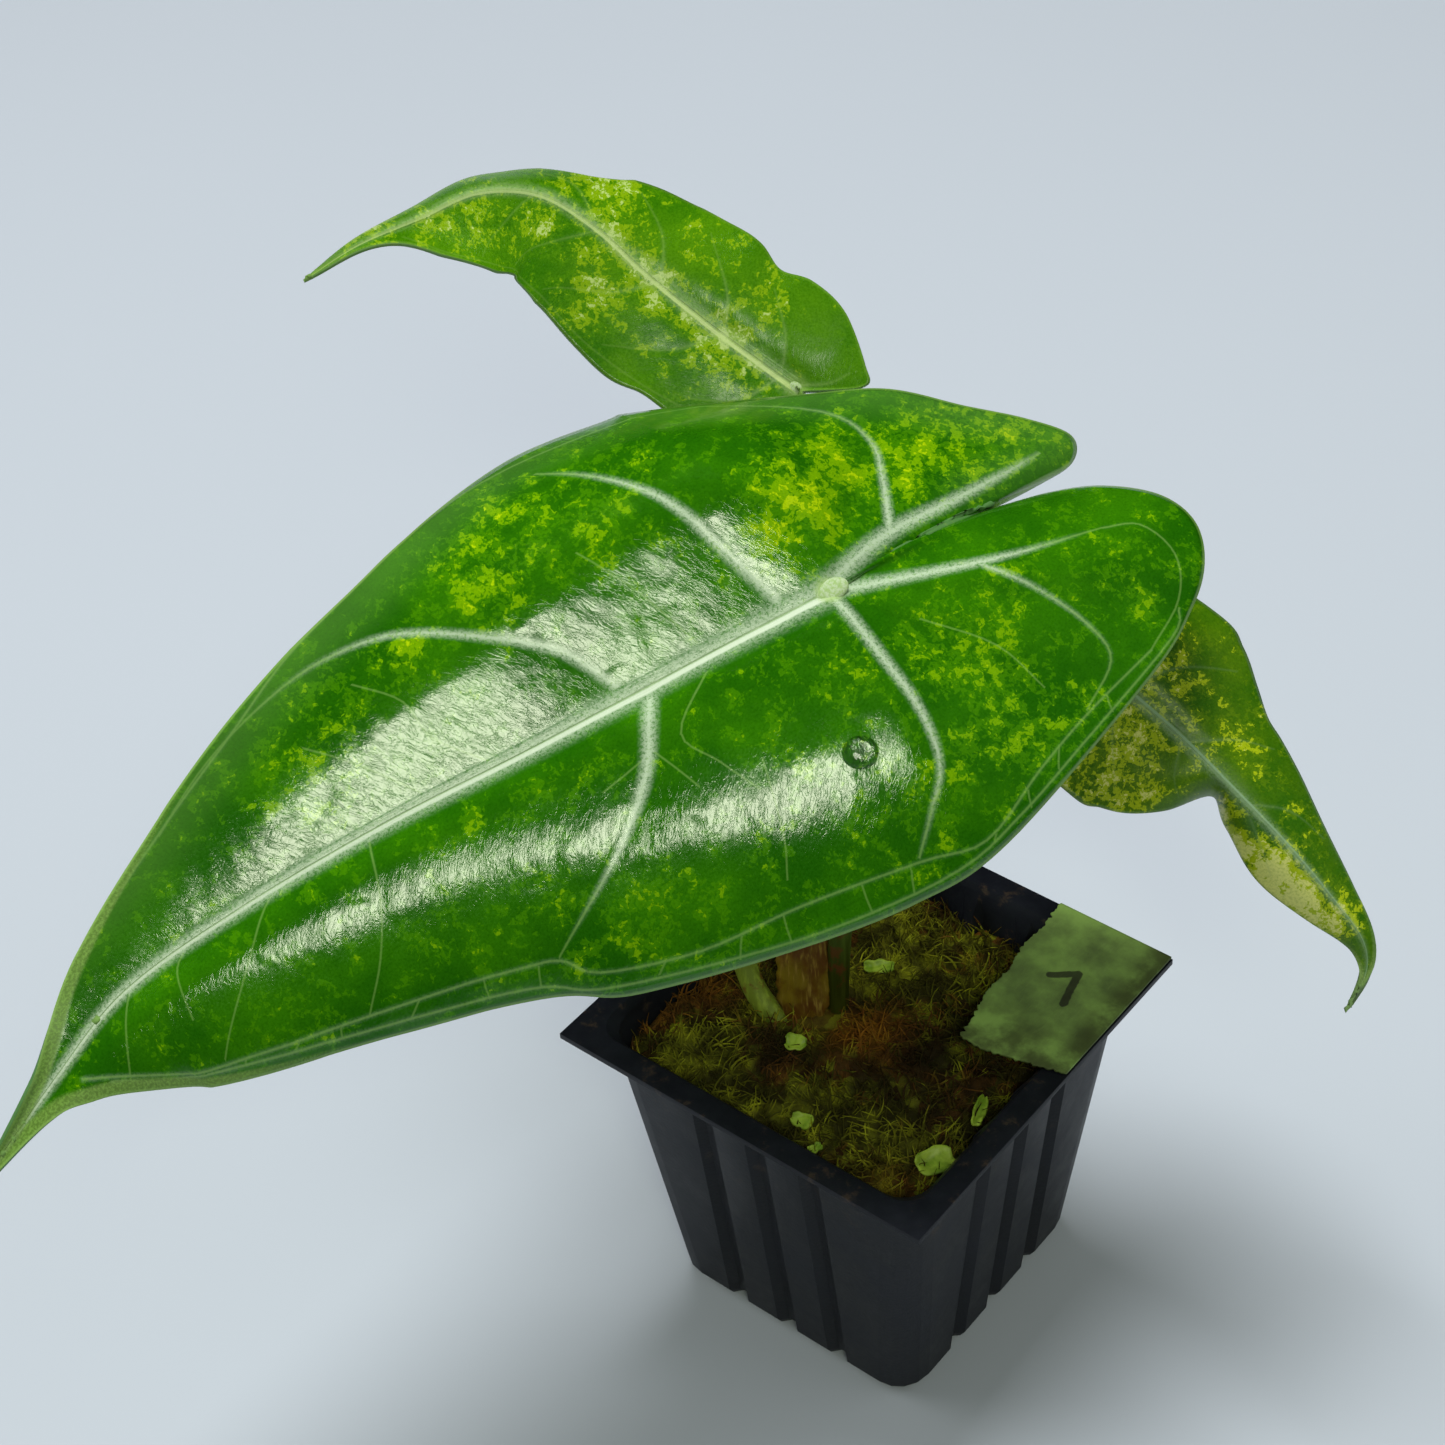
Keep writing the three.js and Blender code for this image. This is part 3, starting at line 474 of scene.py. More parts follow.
def midribFrame(leaf, x):
    halfStep = build["halfStep"]
    here = along(leaf["stations"], x)
    ahead = along(leaf["stations"], x + halfStep)[:, :3]
    behind = along(leaf["stations"], x - halfStep)[:, :3]
    forward = unit(ahead - behind)
    over = unit(np.cross(forward, here[:, 3:]))
    first = np.array(leaf["stations"][0][1:4])
    point = first + (here[:, :3] - first) * leaf["shrink"]
    return point, np.cross(over, forward), over


def ribRows(leaf):
    return [(i, *rib) for i, rib in enumerate(leaf["ribs"])]


def flatPlace(leaf, t, share, side):
    gentleStart, lobeStart, lobeReach = 0.25, 0.8, 30
    channelWidth, fullChannelAt, ridgeRibs = 3, 20, 1.6
    rib = along(ribRows(leaf), t)
    start = np.maximum(rib[:, 0], 0)
    first = side == 0
    end = np.where(first[:, None], rib[:, 1:4], rib[:, 4:7])
    x = start + (end[:, 0] - start) * share
    y = end[:, 1] * share
    intoLobe = smoothStep(-end[:, 0] / lobeReach)
    startSlope = gentleStart + (lobeStart - gentleStart) * intoLobe
    length = np.abs(end[:, 1])
    profile = end[:, 2] * (startSlope * share + (1 - startSlope) * share ** 2)
    if "facet" in leaf:
        facet = leaf["facet"]
        rise = facet["slope"] * length * smoothStep((x - facet["growFrom"]) / facet["growOver"])
        rise = rise * (1 - smoothStep((x - facet["fadeFrom"]) / facet["fadeOver"]))
        bend = (rise - end[:, 2]) / (1 - facet["flatShare"]) ** 2
        raised = rise * share - bend * np.maximum(share - facet["flatShare"], 0) ** 2
        profile = np.where(first, raised + (profile - raised) * intoLobe, profile)
    profile = profile + np.where(first, *leaf["arch"]) * length * (share - share ** 3) * (1 - intoLobe)
    lobeDepth = sum(leaf["channel"]) / 2
    sideDepth = np.where(first, *leaf["channel"])
    depth = (sideDepth + (lobeDepth - sideDepth) * intoLobe) * np.minimum(length / fullChannelAt, 1)
    channel = depth * (1 - np.exp(-((y / channelWidth) ** 2))) * (1 - share ** 2)
    ridge = leaf["ridge"] * np.exp(-((t / ridgeRibs) ** 2)) * share * (1 - share) * 4
    return x, y, profile + channel + ridge


def bladePoints(leaf, x, y, height):
    point, across, over = midribFrame(leaf, x)
    return point + (y[:, None] * across + height[:, None] * over) * leaf["shrink"]


def smoothPath(points, steps):  # evenly cut curve through a short list of points
    rows = [(i, *point) for i, point in enumerate(points)]
    return along(rows, np.linspace(0, len(points) - 1, steps * (len(points) - 1) + 1))


def nearestPart(places, path):  # distance to a path, the part of it that is nearest, and how far along it
    a, b = path[:-1], path[1:]
    span = b - a
    offset = places[:, None, :] - a
    t = (offset * span).sum(2) / np.maximum((span ** 2).sum(1), 1e-9)
    foot = offset - np.clip(t, 0, 1)[:, :, None] * span
    away = np.sqrt((foot ** 2).sum(2))
    part = away.argmin(1)
    rows = np.arange(len(places))
    return away[rows, part], part, t[rows, part]


def leafVeins(leaf):  # every vein as (path, half width at its root, half width at its end)
    veins = []
    length = leaf["stations"][-1][0]
    steps = build["midribSteps"]
    midrib = np.column_stack([np.linspace(0, length, steps), np.zeros(steps)])
    veins.append((midrib, *leaf["midribHalfWidth"]))
    for rootWidth, endWidth, points in leaf["veins"].values():
        veins.append((smoothPath(points, build["veinSteps"]), rootWidth, endWidth))
    rungWidth, rungLean, rungBend = 0.16, 1.2, 0.1
    if leaf["rungs"]:
        hems = (leaf["veins"][hem][2] for hem in ("hemInner", "hemOuter"))
        inner, outer = (smoothPath(points, build["hemSteps"]) for points in hems)
        for x in leaf["rungs"]:
            start = inner[np.abs(inner[:, 0] - x).argmin()]
            end = outer[np.abs(outer[:, 0] - x - rungLean).argmin()]
            veins.append((np.array([start, (start + end) / 2 + rungBend, end]), rungWidth, rungWidth))
    return veins


def marginPath(leaf):
    ribs = along(ribRows(leaf), np.linspace(0, len(leaf["ribs"]) - 1, build["marginSteps"]))
    return np.concatenate([ribs[:, 1:3], ribs[::-1, 4:6]])


relief = {"quilt": 0.25, "quiltWidth": 4.5, "groove": 0.15, "grooveBeside": 0.2, "mainVein": 0.32,
          "fullVein": (0.6, 0.5), "calmEdge": 7, "edgeDrop": 0.06, "midrib": 0.2, "midribOf": 1.7,
          "midribSpread": 1.1, "wrinkle": 0.018, "lean": 0.6, "seed": (3.1, 7.7, 1.3)}


def leafRelief(leaf, veins, flat, edge):  # low swellings between the main veins, in mm
    mains = [vein for vein in veins[1:] if vein[1] > relief["mainVein"]]
    quilt = np.zeros(len(flat))
    groove = np.zeros(len(flat))
    for path, rootWidth, endWidth in mains:
        away, part, t = nearestPart(flat, path)
        width = rootWidth + (endWidth - rootWidth) * part / (len(path) - 1)
        share, near = (np.clip(width / full, 0, 1) for full in relief["fullVein"])
        quilt = np.maximum(quilt, np.exp(-((away / relief["quiltWidth"]) ** 2)) * share)
        groove = np.maximum(groove, np.exp(-((away / (width + relief["grooveBeside"])) ** 2)) * near)
    seed = Vector(relief["seed"])
    leaning = [(x - relief["lean"] * abs(y), abs(y)) for x, y in flat]
    wrinkle = np.array([noise.noise(Vector((x * 0.35, y * 0.16, 0)) + seed) for x, y in leaning])
    wrinkle += 0.6 * np.array([noise.noise(Vector((x * 0.8, y * 0.4, 5)) + seed) for x, y in leaning])
    calm = np.clip(edge / relief["calmEdge"], 0, 1)
    height = -relief["quilt"] * quilt - relief["groove"] * groove + relief["wrinkle"] * wrinkle
    wide, narrow = leaf["midribHalfWidth"]
    ribWidth = wide + (narrow - wide) * np.clip(flat[:, 0] / leaf["stations"][-1][0], 0, 1)
    rib = np.exp(-((flat[:, 1] / (ribWidth * relief["midribSpread"])) ** 2))
    rib = rib * smoothStep((flat[:, 0] + 3) / 4) * ribWidth / relief["midribOf"]
    return (height + relief["midrib"] * rib) * calm - relief["edgeDrop"] * (1 - calm)


def evenRibs(leaf, count):  # rib numbers whose steps are about even on the midrib and on both margins
    t = np.linspace(0, len(leaf["ribs"]) - 1, build["evenSteps"])
    ribs = along(ribRows(leaf), t)
    steps = [np.abs(np.diff(np.maximum(ribs[:, 0], 0)))]
    steps += [np.hypot(np.diff(ribs[:, c]), np.diff(ribs[:, c + 1])) for c in (1, 4)]
    travelled = np.concatenate([[0], np.cumsum(np.max(steps, axis=0))])
    return np.interp(np.linspace(0, travelled[-1], count), travelled, t)


def bladeMesh(name, leaf):
    columns, rows = leaf["cells"]
    bm = newGrid(columns, rows)
    grid = np.array([v.co[:2] for v in bm.verts])
    side = (grid[:, 0] > 0).astype(int)
    share = np.abs(grid[:, 0]) ** build["crowding"]
    ribTable = evenRibs(leaf, rows + 1)
    t = np.interp((grid[:, 1] + 1) / 2 * rows, np.arange(rows + 1), ribTable)
    x, y, height = flatPlace(leaf, t, share, side)
    points = bladePoints(leaf, x, y, height) * mm
    flatX, flatY = bm.verts.layers.float.new("flatX"), bm.verts.layers.float.new("flatY")
    for vert, point, fx, fy in zip(bm.verts, points, x, y):
        vert.co = point
        vert[flatX], vert[flatY] = fx, fy
    bmesh.ops.remove_doubles(bm, verts=bm.verts, dist=build["weld"] * mm)
    bmesh.ops.dissolve_degenerate(bm, dist=build["sliver"] * mm, edges=bm.edges)
    if "eased" in leaf:  # rounds the bend off, over a span that narrows
        low, high, least, count, step = leaf["eased"]
        axes = dict.fromkeys(("use_axis_x", "use_axis_y", "use_axis_z"), True)
        for k in range(count):
            bent = [v for v in bm.verts
                    if low + k * step < v[flatX] < high - k * step and abs(v[flatY]) > least + k * step / 2]
            bmesh.ops.smooth_vert(bm, verts=bent, factor=0.5, **axes)
    over = Vector(midribFrame(leaf, np.array([build["facingAt"]]))[2][0])
    faceAlong(bm, over)
    flat = np.array([(v[flatX], v[flatY]) for v in bm.verts])
    veins = leafVeins(leaf)
    edge = nearestPart(flat, marginPath(leaf))[0]
    lift = leafRelief(leaf, veins, flat, edge) + leaf["thickness"] / 2
    for vert, rise in zip(bm.verts, lift):
        vert.co += vert.normal * float(rise) * mm
    mesh = keepMesh(bm, name)
    writeLeafMaps(leaf, mesh, flat, edge, veins)
    return mesh


def writeLeafMaps(leaf, mesh, flat, edge, veins):
    loopVert = np.empty(len(mesh.loops), int)
    mesh.loops.foreach_get("vertex_index", loopVert)
    count = np.empty(len(mesh.polygons), int)
    mesh.polygons.foreach_get("loop_total", count)
    loopFace = np.repeat(np.arange(len(count)), count)
    corner = flat[loopVert]
    centre = np.column_stack([np.bincount(loopFace, corner[:, c]) for c in (0, 1)]) / count[:, None]
    found = []
    for path, rootWidth, endWidth in veins:
        away, part, t = nearestPart(centre, path)
        pieces = len(path) - 1
        width = rootWidth + (endWidth - rootWidth) * np.clip((part + t) / pieces, 0, 1)
        beyond = ((part == 0) & (t < 0)) | ((part == pieces - 1) & (t > 1))
        found.append((away - width, part, beyond))
    rank = np.argsort(np.array([f[0] for f in found]), axis=0)
    for label, order in (("veinNear", 0), ("veinNext", 1)):
        chosen = rank[order][loopFace]
        values = np.zeros((len(loopVert), 2))
        for k, (path, rootWidth, endWidth) in enumerate(veins):
            mine = np.nonzero(chosen == k)[0]
            if not len(mine):
                continue
            part, beyond = found[k][1][loopFace[mine]], found[k][2][loopFace[mine]]
            a, span = path[part], path[part + 1] - path[part]
            offset = corner[mine] - a
            length = np.linalg.norm(span, axis=1)
            t = (offset * span).sum(1) / length ** 2
            beside = (span[:, 0] * offset[:, 1] - span[:, 1] * offset[:, 0]) / length
            tip = np.where((t > 0.5)[:, None], path[part + 1], a)
            values[mine, 0] = np.where(beyond, np.linalg.norm(corner[mine] - tip, axis=1), beside)
            share = np.clip((part + np.clip(t, 0, 1)) / (len(path) - 1), 0, 1)
            values[mine, 1] = rootWidth + (endWidth - rootWidth) * share
        mesh.uv_layers.new(name=label).uv.foreach_set("vector", values.ravel())
    mesh.uv_layers.new(name="flat").uv.foreach_set("vector", corner.ravel())
    lime = np.zeros(len(flat))
    for px, py, radius, strength in leaf["patches"]:
        lime = np.maximum(lime, strength * np.exp(-(((flat - (px, py)) ** 2).sum(1)) / radius ** 2))
    mesh.attributes.new("lime", "FLOAT", "POINT").data.foreach_set("value", lime)
    mesh.attributes.new("edge", "FLOAT", "POINT").data.foreach_set("value", edge)


def makeVeinGroup():  # a thin line, and a stippled frosty band round the wider veins
    tree, given, result = newGroup("veinLine", ("Core", "Frost"), Line=vectorKind, Flat=vectorKind)
    beside, halfWidth, _ = split(given["Line"])
    away, width = absolute(beside), larger(halfWidth, 0.05)
    stipple = fade(grain(given["Flat"], 1.9, 3.0, 0.85), 0.36, 0.62)
    lineShare = fade(divide(away, plus(times(width, 0.16), 0.12)), 1.8, 0.2)
    connect(times(lineShare, fade(width, 0.08, 0.8, 0.3, 0.75)), result["Core"])
    near = fade(divide(away, plus(times(width, 2.3), 0.15)), 1.0, 0.0)
    dots = fade(plus(stipple, times(near, 0.4)), 0.1, 1.1, 0.2, 0.95)
    connect(times(times(near, fade(width, 0.15, 0.6)), dots), result["Frost"])
    return tree


def makeMottleGroup():  # crisp patches and specks of a paler green, like a mosaic of small cells
    tree, given, result = newGroup("mottle", ("Patch", "Bright", "Speck"), Field=number, Flat=vectorKind)
    warped = shake(given["Flat"], 0.9, 3.0, (2.2, 2.2, 0))
    level = plus(given["Field"], times(minus(grain(given["Flat"], 0.2, 6.0, 0.65), 0.5), 2.3))
    for scale in (0.5, 1.7):
        tone = split(cells(warped, scale))[0]
        level = plus(level, times(minus(tone, 0.5), 0.5))
    for label, start, end in (("Patch", 0.55, 0.61), ("Bright", 0.95, 1.02), ("Speck", 0.2, 0.3)):
        connect(fade(level, start, end), result[label])
    return tree


def makePleatGroup():  # skin: low folds that lean the way the side veins do, thin creases and a fine grain
    tree, given, result = newGroup("pleats", ("Height", "Grain"), Flat=vectorKind)
    flat = given["Flat"]
    x, y, _ = split(flat)
    out = absolute(y)
    leaning = addNode("ShaderNodeCombineXYZ", {0: minus(x, times(out, 0.6)), 1: times(out, 0.5)}).outputs[0]
    swell = grain(flat, 0.14, 1.0, 0.5, 0.6)
    folds = grain(leaning, 0.45, 3.0, 0.6, 0.5)
    lines = grain(leaning, 0.8, 3.0, 0.65, 0.9)
    crease = fade(absolute(minus(lines, 0.5)), 0.0, 0.1)
    skin = grain(flat, 2.4, 2.0, 0.7)
    height = times(swell, 3.4)
    for part, weight in ((folds, 0.55), (crease, 0.14), (skin, 0.05)):
        height = plus(height, times(part, weight))
    connect(height, result["Height"])
    connect(skin, result["Grain"])
    return tree


veinGroup, mottleGroup, pleatGroup = makeVeinGroup(), makeMottleGroup(), makePleatGroup()

# Looks of each leaf's top. hemSpan: where the pale hem begins and is full, along the blade, in mm.
# Each rib colour is for a pale band on one flank of the midrib: partly its own pale colour, partly a painted
# highlight.
largeFinish = {
    "name": "largeLeafTop", "deep": (0.013, 0.108, 0.0008), "fresh": (0.032, 0.175, 0.0008),
    "mid": (0.07, 0.26, 0.0005), "lime": (0.16, 0.36, 0.0005), "bright": (0.38, 0.56, 0.002),
    "vein": (0.26, 0.46, 0.1), "frost": (0.45, 0.58, 0.38), "rib": (0.6, 0.7, 0.52),
    "groove": (0.26, 0.4, 0.17), "knot": (0.34, 0.5, 0.14),
    "roughness": 0.11, "wrinkle": 0.05, "mottle": 1.0, "veined": 1.0, "rimmed": 0.55, "shine": 0.5,
    "hem": 1.0, "hemSpan": (88, 120), "hemWidth": (0.6, 2.3), "hemColour": (0.11, 0.21, 0.028),
    # Below: strength and colour of a painted sheen along one margin, on the y < 0 side.
    "paintedSheen": 0.3, "paintedSheenColour": (0.1, 0.22, 0.045),
}
backFinish = {
    "name": "backLeafTop", "deep": (0.03, 0.15, 0.0005), "fresh": (0.07, 0.22, 0.001),
    "mid": (0.085, 0.25, 0.001), "lime": (0.2, 0.36, 0.002), "bright": (0.42, 0.56, 0.16),
    "vein": (0.28, 0.45, 0.08), "frost": (0.42, 0.56, 0.26), "rib": (0.48, 0.62, 0.22),
    "groove": (0.3, 0.4, 0.1), "knot": (0.3, 0.46, 0.08),
    "roughness": 0.26, "wrinkle": 0.06, "mottle": 1.3, "veined": 0.35, "rimmed": 0.2, "shine": 0.45,
}
rightFinish = {
    "name": "rightLeafTop", "deep": (0.022, 0.11, 0.0005), "fresh": (0.07, 0.17, 0.0005),
    "mid": (0.12, 0.23, 0.0005), "lime": (0.34, 0.44, 0.003), "bright": (0.6, 0.63, 0.17),
    "vein": (0.16, 0.27, 0.1), "frost": (0.26, 0.38, 0.22), "rib": (0.22, 0.36, 0.2),
    "groove": (0.14, 0.24, 0.1), "knot": (0.3, 0.46, 0.08),
    "roughness": 0.34, "wrinkle": 0.05, "mottle": 1.4, "veined": 0.5, "rimmed": 0.3, "shine": 0.25,
    "hem": 0.6, "hemSpan": (62, 78), "hemWidth": (0.5, 1.5), "hemColour": (0.17, 0.24, 0.07),
}


def leafMottle(flat, finish):
    return useGroup(mottleGroup, Field=attribute("lime"), Flat=stretch(flat, (finish["mottle"],) * 3))


def leafTopMaterial(leaf, finish):
    material = newMaterial(finish["name"])
    flat, edge = uvMap("flat"), attribute("edge")
    lines = [useGroup(veinGroup, Line=uvMap(label), Flat=flat) for label in ("veinNear", "veinNext")]
    core, frost = (larger(*(line[label] for line in lines)) for label in ("Core", "Frost"))
    mottle, pleats = leafMottle(flat, finish), useGroup(pleatGroup, Flat=flat)
    skin, veined = pleats["Grain"], finish["veined"]
    colour = blend(fade(grain(flat, 0.05, 8.0, 0.66), 0.35, 0.65), finish["deep"], finish["fresh"])
    colour = layered(
        colour, (mottle["Speck"], 0.5, finish["mid"]), (mottle["Patch"], 1, finish["lime"]),
        (mottle["Bright"], 1, finish["bright"]))
    colour = blend(fade(skin, 0.6, 0.3, 0.0, 0.55), colour, (0.5, 0.62, 0.4), "MULTIPLY")
    x, y, _ = split(flat)
    length = float(leaf["stations"][-1][0])
    across = divide(y, fade(x, 0.0, length, *leaf["midribHalfWidth"], "LINEAR"))  # 1 at the midrib's edge
    onRib = times(fade(absolute(across), 1.15, 0.9), fade(x, -1.0, 1.0))
    # A pale band on the y > 0 flank of the midrib, weaker towards the tip: partly the midrib's own pale
    # colour, partly a painted highlight where that flank mirrors the lamp.
    ribPaleAndGleam = times(fade(absolute(minus(across, 0.45)), 0.4, 0.15), fade(x, length, 0.0, 0.4, 1.0))
    groove = times(fade(absolute(across), 0.22, 0.05), onRib)
    veinColour = blend(fade(frost, 0.2, 0.6), finish["vein"], finish["frost"])
    colour = layered(
        colour, (frost, veined, finish["frost"]), (core, veined, veinColour), (onRib, ribPaleAndGleam, finish["rib"]),
        (groove, 0.8 * veined, finish["groove"]))
    rough = fade(skin, 0.3, 0.7, finish["roughness"] - 0.03, finish["roughness"] + 0.05)
    rough = plus(rough, times(larger(core, frost), 0.15))
    # Painted sheen: a pale haze along the margin on the y < 0 side, where the sky would reflect at a grazing
    # angle.
    if "paintedSheen" in finish:
        paintedSheenShare = times(fade(edge, 10.0, 1.0), fade(y, -2.0, -12.0))
        colour = layered(colour, (paintedSheenShare, finish["paintedSheen"], finish["paintedSheenColour"]))
    if "hem" in finish:
        start, end = finish["hemSpan"]
        hem = fade(divide(edge, fade(x, start, end + 15, *finish["hemWidth"])), 1.1, 0.7)
        hem = times(hem, fade(x, start, end, 0.0, finish["hem"]))
        hemColour = blend(fade(skin, 0.4, 0.65), finish["hemColour"], shade(finish["hemColour"], 1.6, 0.01))
        colour = layered(colour, (hem, 0.9, hemColour))
        rough = plus(rough, times(hem, 0.35))
    # A pale round patch where the stalk meets the blade: its own pale colour, and painted light over a dark
    # shading spot there.
    knot = fade(plus(vectorCalc("LENGTH", flat), times(skin, 1.2)), 3.4, 1.8)
    rim = fade(edge, 0.5, 0.15)
    colour = layered(colour, (rim, finish["rimmed"], finish["vein"]), (knot, 0.75 * veined, finish["knot"]))
    fibre = grain(stretch(flat, (0.12, 3.2, 1)), 1.0)
    ribShape = minus(times(fibre, onRib), times(groove, 0.7))
    normal = bump(ribShape, 0.08, Normal=bump(pleats["Height"], finish["wrinkle"]))
    return paint(material, colour, rough, normal=normal, ior=1.5, shine=finish["shine"])


def leafUnderMaterial(finish):
    material = newMaterial(finish["name"].replace("Top", "Under"))
    flat = uvMap("flat")
    line = useGroup(veinGroup, Line=uvMap("veinNear"), Flat=flat)
    cloud = grain(flat, 0.3, 5.0)
    pale = shade(finish["fresh"], 0.75, 0.035)
    veined = larger(line["Core"], times(line["Frost"], 0.6))
    colour = layered(
        blend(cloud, pale, shade(pale, 1.3, 0.02)),
        (leafMottle(flat, finish)["Patch"], 0.45, shade(finish["lime"], 0.6, 0.05)),
        (veined, 1, shade(finish["vein"], 0.8)))
    return paint(material, colour, (0.48, 0.6), cloud, normal=bump(line["Core"], 0.12))


def makeLeaf(label, leaf, finish, node):
    mesh = bladeMesh(label, leaf)
    piece = addPiece(label, mesh, (leafTopMaterial(leaf, finish), leafUnderMaterial(finish)), (node,))
    thicken(piece, leaf["thickness"], material=1)
    print(label, "made,", len(mesh.polygons), "faces")


makeLeaf("largeLeafBlade", largeLeaf, largeFinish, "leaf_large_blade")
makeLeaf("backLeafBlade", backLeaf, backFinish, "leaf_back_blade")
makeLeaf("rightLeafBlade", rightLeaf, rightFinish, "leaf_right_blade")


def tubeMesh(name, strands, smoothness):  # strands: lists of (point, radius) in mm
    curve = bpy.data.curves.new(name, "CURVE")
    curve.dimensions = "3D"
    curve.bevel_depth, curve.bevel_resolution = 1, smoothness
    curve.use_fill_caps = True
    for strand in strands:
        spline = curve.splines.new("POLY")
        spline.points.add(len(strand) - 1)
        for knot, (point, radius) in zip(spline.points, strand):
            knot.co, knot.radius = (*(Vector(point) * mm), 1), radius * mm
    holder = bpy.data.objects.new(name, curve)
    bpy.context.collection.objects.link(holder)
    mesh = bpy.data.meshes.new_from_object(holder.evaluated_get(bpy.context.evaluated_depsgraph_get()))
    mesh.name = name
    bpy.data.objects.remove(holder)
    bpy.data.curves.remove(curve)
    return mesh


# Drop of water lying on the large leaf, at this flat place
drop = {"leaf": "largeLeafBlade", "flat": (8.1, 24.2), "size": (2.8, 2.5, 0.75), "sink": 0.06, "foot": -0.1}


def dropMesh():
    blade, target = bpy.data.meshes[drop["leaf"]], Vector(drop["flat"])
    flat = blade.uv_layers["flat"].uv
    nearest = min(blade.loops, key=lambda loop: (flat[loop.index].vector - target).length_squared)
    vert = blade.vertices[nearest.vertex_index]
    bm = bmesh.new()
    bmesh.ops.create_uvsphere(bm, u_segments=32, v_segments=16, radius=1)
    width, depth, height = drop["size"]
    for point in bm.verts:
        x, y, z = point.co
        rise = 1 - math.hypot(x, y) ** 4 if z > 0 else drop["foot"]
        point.co = Vector((x * width, y * depth, rise * height)) * mm
    turn = vert.normal.to_track_quat("Z", "Y").to_matrix().to_4x4()
    middle = vert.co - vert.normal * drop["sink"] * mm
    bmesh.ops.transform(bm, matrix=Matrix.Translation(middle) @ turn, verts=bm.verts)
    return keepMesh(bm, "waterDrop")


waterLook = speckled("water", 900.0, ((0.9, 0.97, 0.9), (1.0, 1.0, 1.0)), (0.01, 0.04), ior=1.33, clear=1.0)
addPiece("waterDrop", dropMesh(), (waterLook,))

# Stalks: the way each takes from the crown to its blade, in mm, and its radius at both ends
petioles = {
    "largeLeafPetiole": {
        "node": "leaf_large_petiole", "radius": (2.2, 1.6), "low": (0.028, 0.038, 0.001),
        "path": ((-7.2, 0.2, 57), (-6.8, 0.6, 68), (-5.6, 1.6, 90), (-3.2, 1.4, 118), (-1.4, -1.0, 142),
                 (-1.9, -3.2, 154.2)),
    },
    "backLeafPetiole": {
        "node": "leaf_back_petiole", "radius": (2.2, 1.4), "low": (0.2, 0.27, 0.026),
        "path": ((-14.0, -7.0, 57), (-19.5, -7.5, 64), (-27.0, -4.0, 80), (-33.5, 5.0, 103),
                 (-36.4, 18.0, 130), (-37.2, 28.6, 150), (-37.1, 31.4, 156)),
    },
    "rightLeafPetiole": {
        "node": "leaf_right_petiole", "radius": (1.7, 1.3), "low": (0.05, 0.06, 0.006),
        "path": ((-12.6, 2.6, 57), (-12.8, 4.4, 68), (-8.0, 11.0, 90), (2.0, 22.0, 112), (11.5, 29.5, 125),
                 (15.6, 31.8, 129.6)),
    },
}
# Heights in m: where the low colour turns into the high one, and where the red fades out
stalk = {"steps": 10, "high": (0.12, 0.24, 0.02), "red": (0.16, 0.03, 0.012), "turns": (0.062, 0.115),
         "redEnds": (0.11, 0.06)}


def petioleMaterial(name, low):
    material = newMaterial(name)
    where = objectPlace()
    z = split(where)[2]
    streak = grain(stretch(where, (900, 900, 60)), 1.0, 4.0)
    height = fade(z, *stalk["turns"])
    paler = blend(height, shade(low, 1.7), shade(stalk["high"], 1.5))
    colour = blend(fade(streak, 0.45, 0.7), blend(height, low, stalk["high"]), paler)
    redness = times(fade(grain(where, 260.0, 5.0, 0.65), 0.52, 0.62), fade(z, *stalk["redEnds"]))
    colour = layered(colour, (redness, 0.7, stalk["red"]))
    return paint(material, colour, (0.36, 0.55), streak, 0.1)


for label, setup in petioles.items():
    path = smoothPath(setup["path"], stalk["steps"])
    mesh = tubeMesh(label, [list(zip(path, np.linspace(*setup["radius"], len(path))))], 6)
    addPiece(label, mesh, (petioleMaterial(label + "Skin", setup["low"]),), (setup["node"],))

# Keel under each midrib, and a smooth round boss where two of the stalks meet their blades
keel = {
    "gap": 0.3, "sunk": 0.85, "steps": 60, "tip": 0.12, "colours": ((0.16, 0.25, 0.08), (0.26, 0.36, 0.15)),
}
for label, leaf, reach, radius, slot in (
    ("largeLeafKeel", largeLeaf, 0.82, 1.7, "leaf_large"),
    ("backLeafKeel", backLeaf, 0.9, 1.2, "leaf_back"),
    ("rightLeafKeel", rightLeaf, 0.9, 1.2, "leaf_right"),
):
    x = np.linspace(0, leaf["stations"][-1][0] * reach, keel["steps"])
    point, across, over = midribFrame(leaf, x)
    radii = np.linspace(radius, keel["tip"], len(x))
    middle = point - over * (keel["gap"] + radii * keel["sunk"])[:, None]
    keelSkin = speckled(label + "Skin", 400.0, keel["colours"], 0.5, 0.05, detail=4.0)
    addPiece(label, tubeMesh(label, [list(zip(middle, radii))], 4), (keelSkin,))

boss = {
    "along": 2.8, "across": 1.8, "over": 0.72, "start": -0.4,
    "colours": ((0.32, 0.48, 0.16), (0.48, 0.6, 0.36)),
}
bossSkin = speckled("leafBoss", 1900.0, boss["colours"], 0.4, 0.04, span=(0.38, 0.62), roughness=0.8)
for label, leaf, size, slot in (
    ("largeLeafBoss", largeLeaf, 1, "leaf_large"), ("backLeafBoss", backLeaf, 0.6, "leaf_back"),
):
    point, across, over = (Vector(v[0]) for v in midribFrame(leaf, np.array([boss["start"]])))
    axes = Matrix((over.cross(across) * boss["along"], across * boss["across"], over * boss["over"]))
    bm = bmesh.new()
    bmesh.ops.create_uvsphere(bm, u_segments=28, v_segments=14, radius=size * mm)
    placed = Matrix.Translation(point * mm) @ axes.transposed().to_4x4()
    bmesh.ops.transform(bm, matrix=placed, verts=bm.verts)
    addPiece(label, keepMesh(bm, label, outward=True), (bossSkin,))
print("petioles, keels and bosses made")

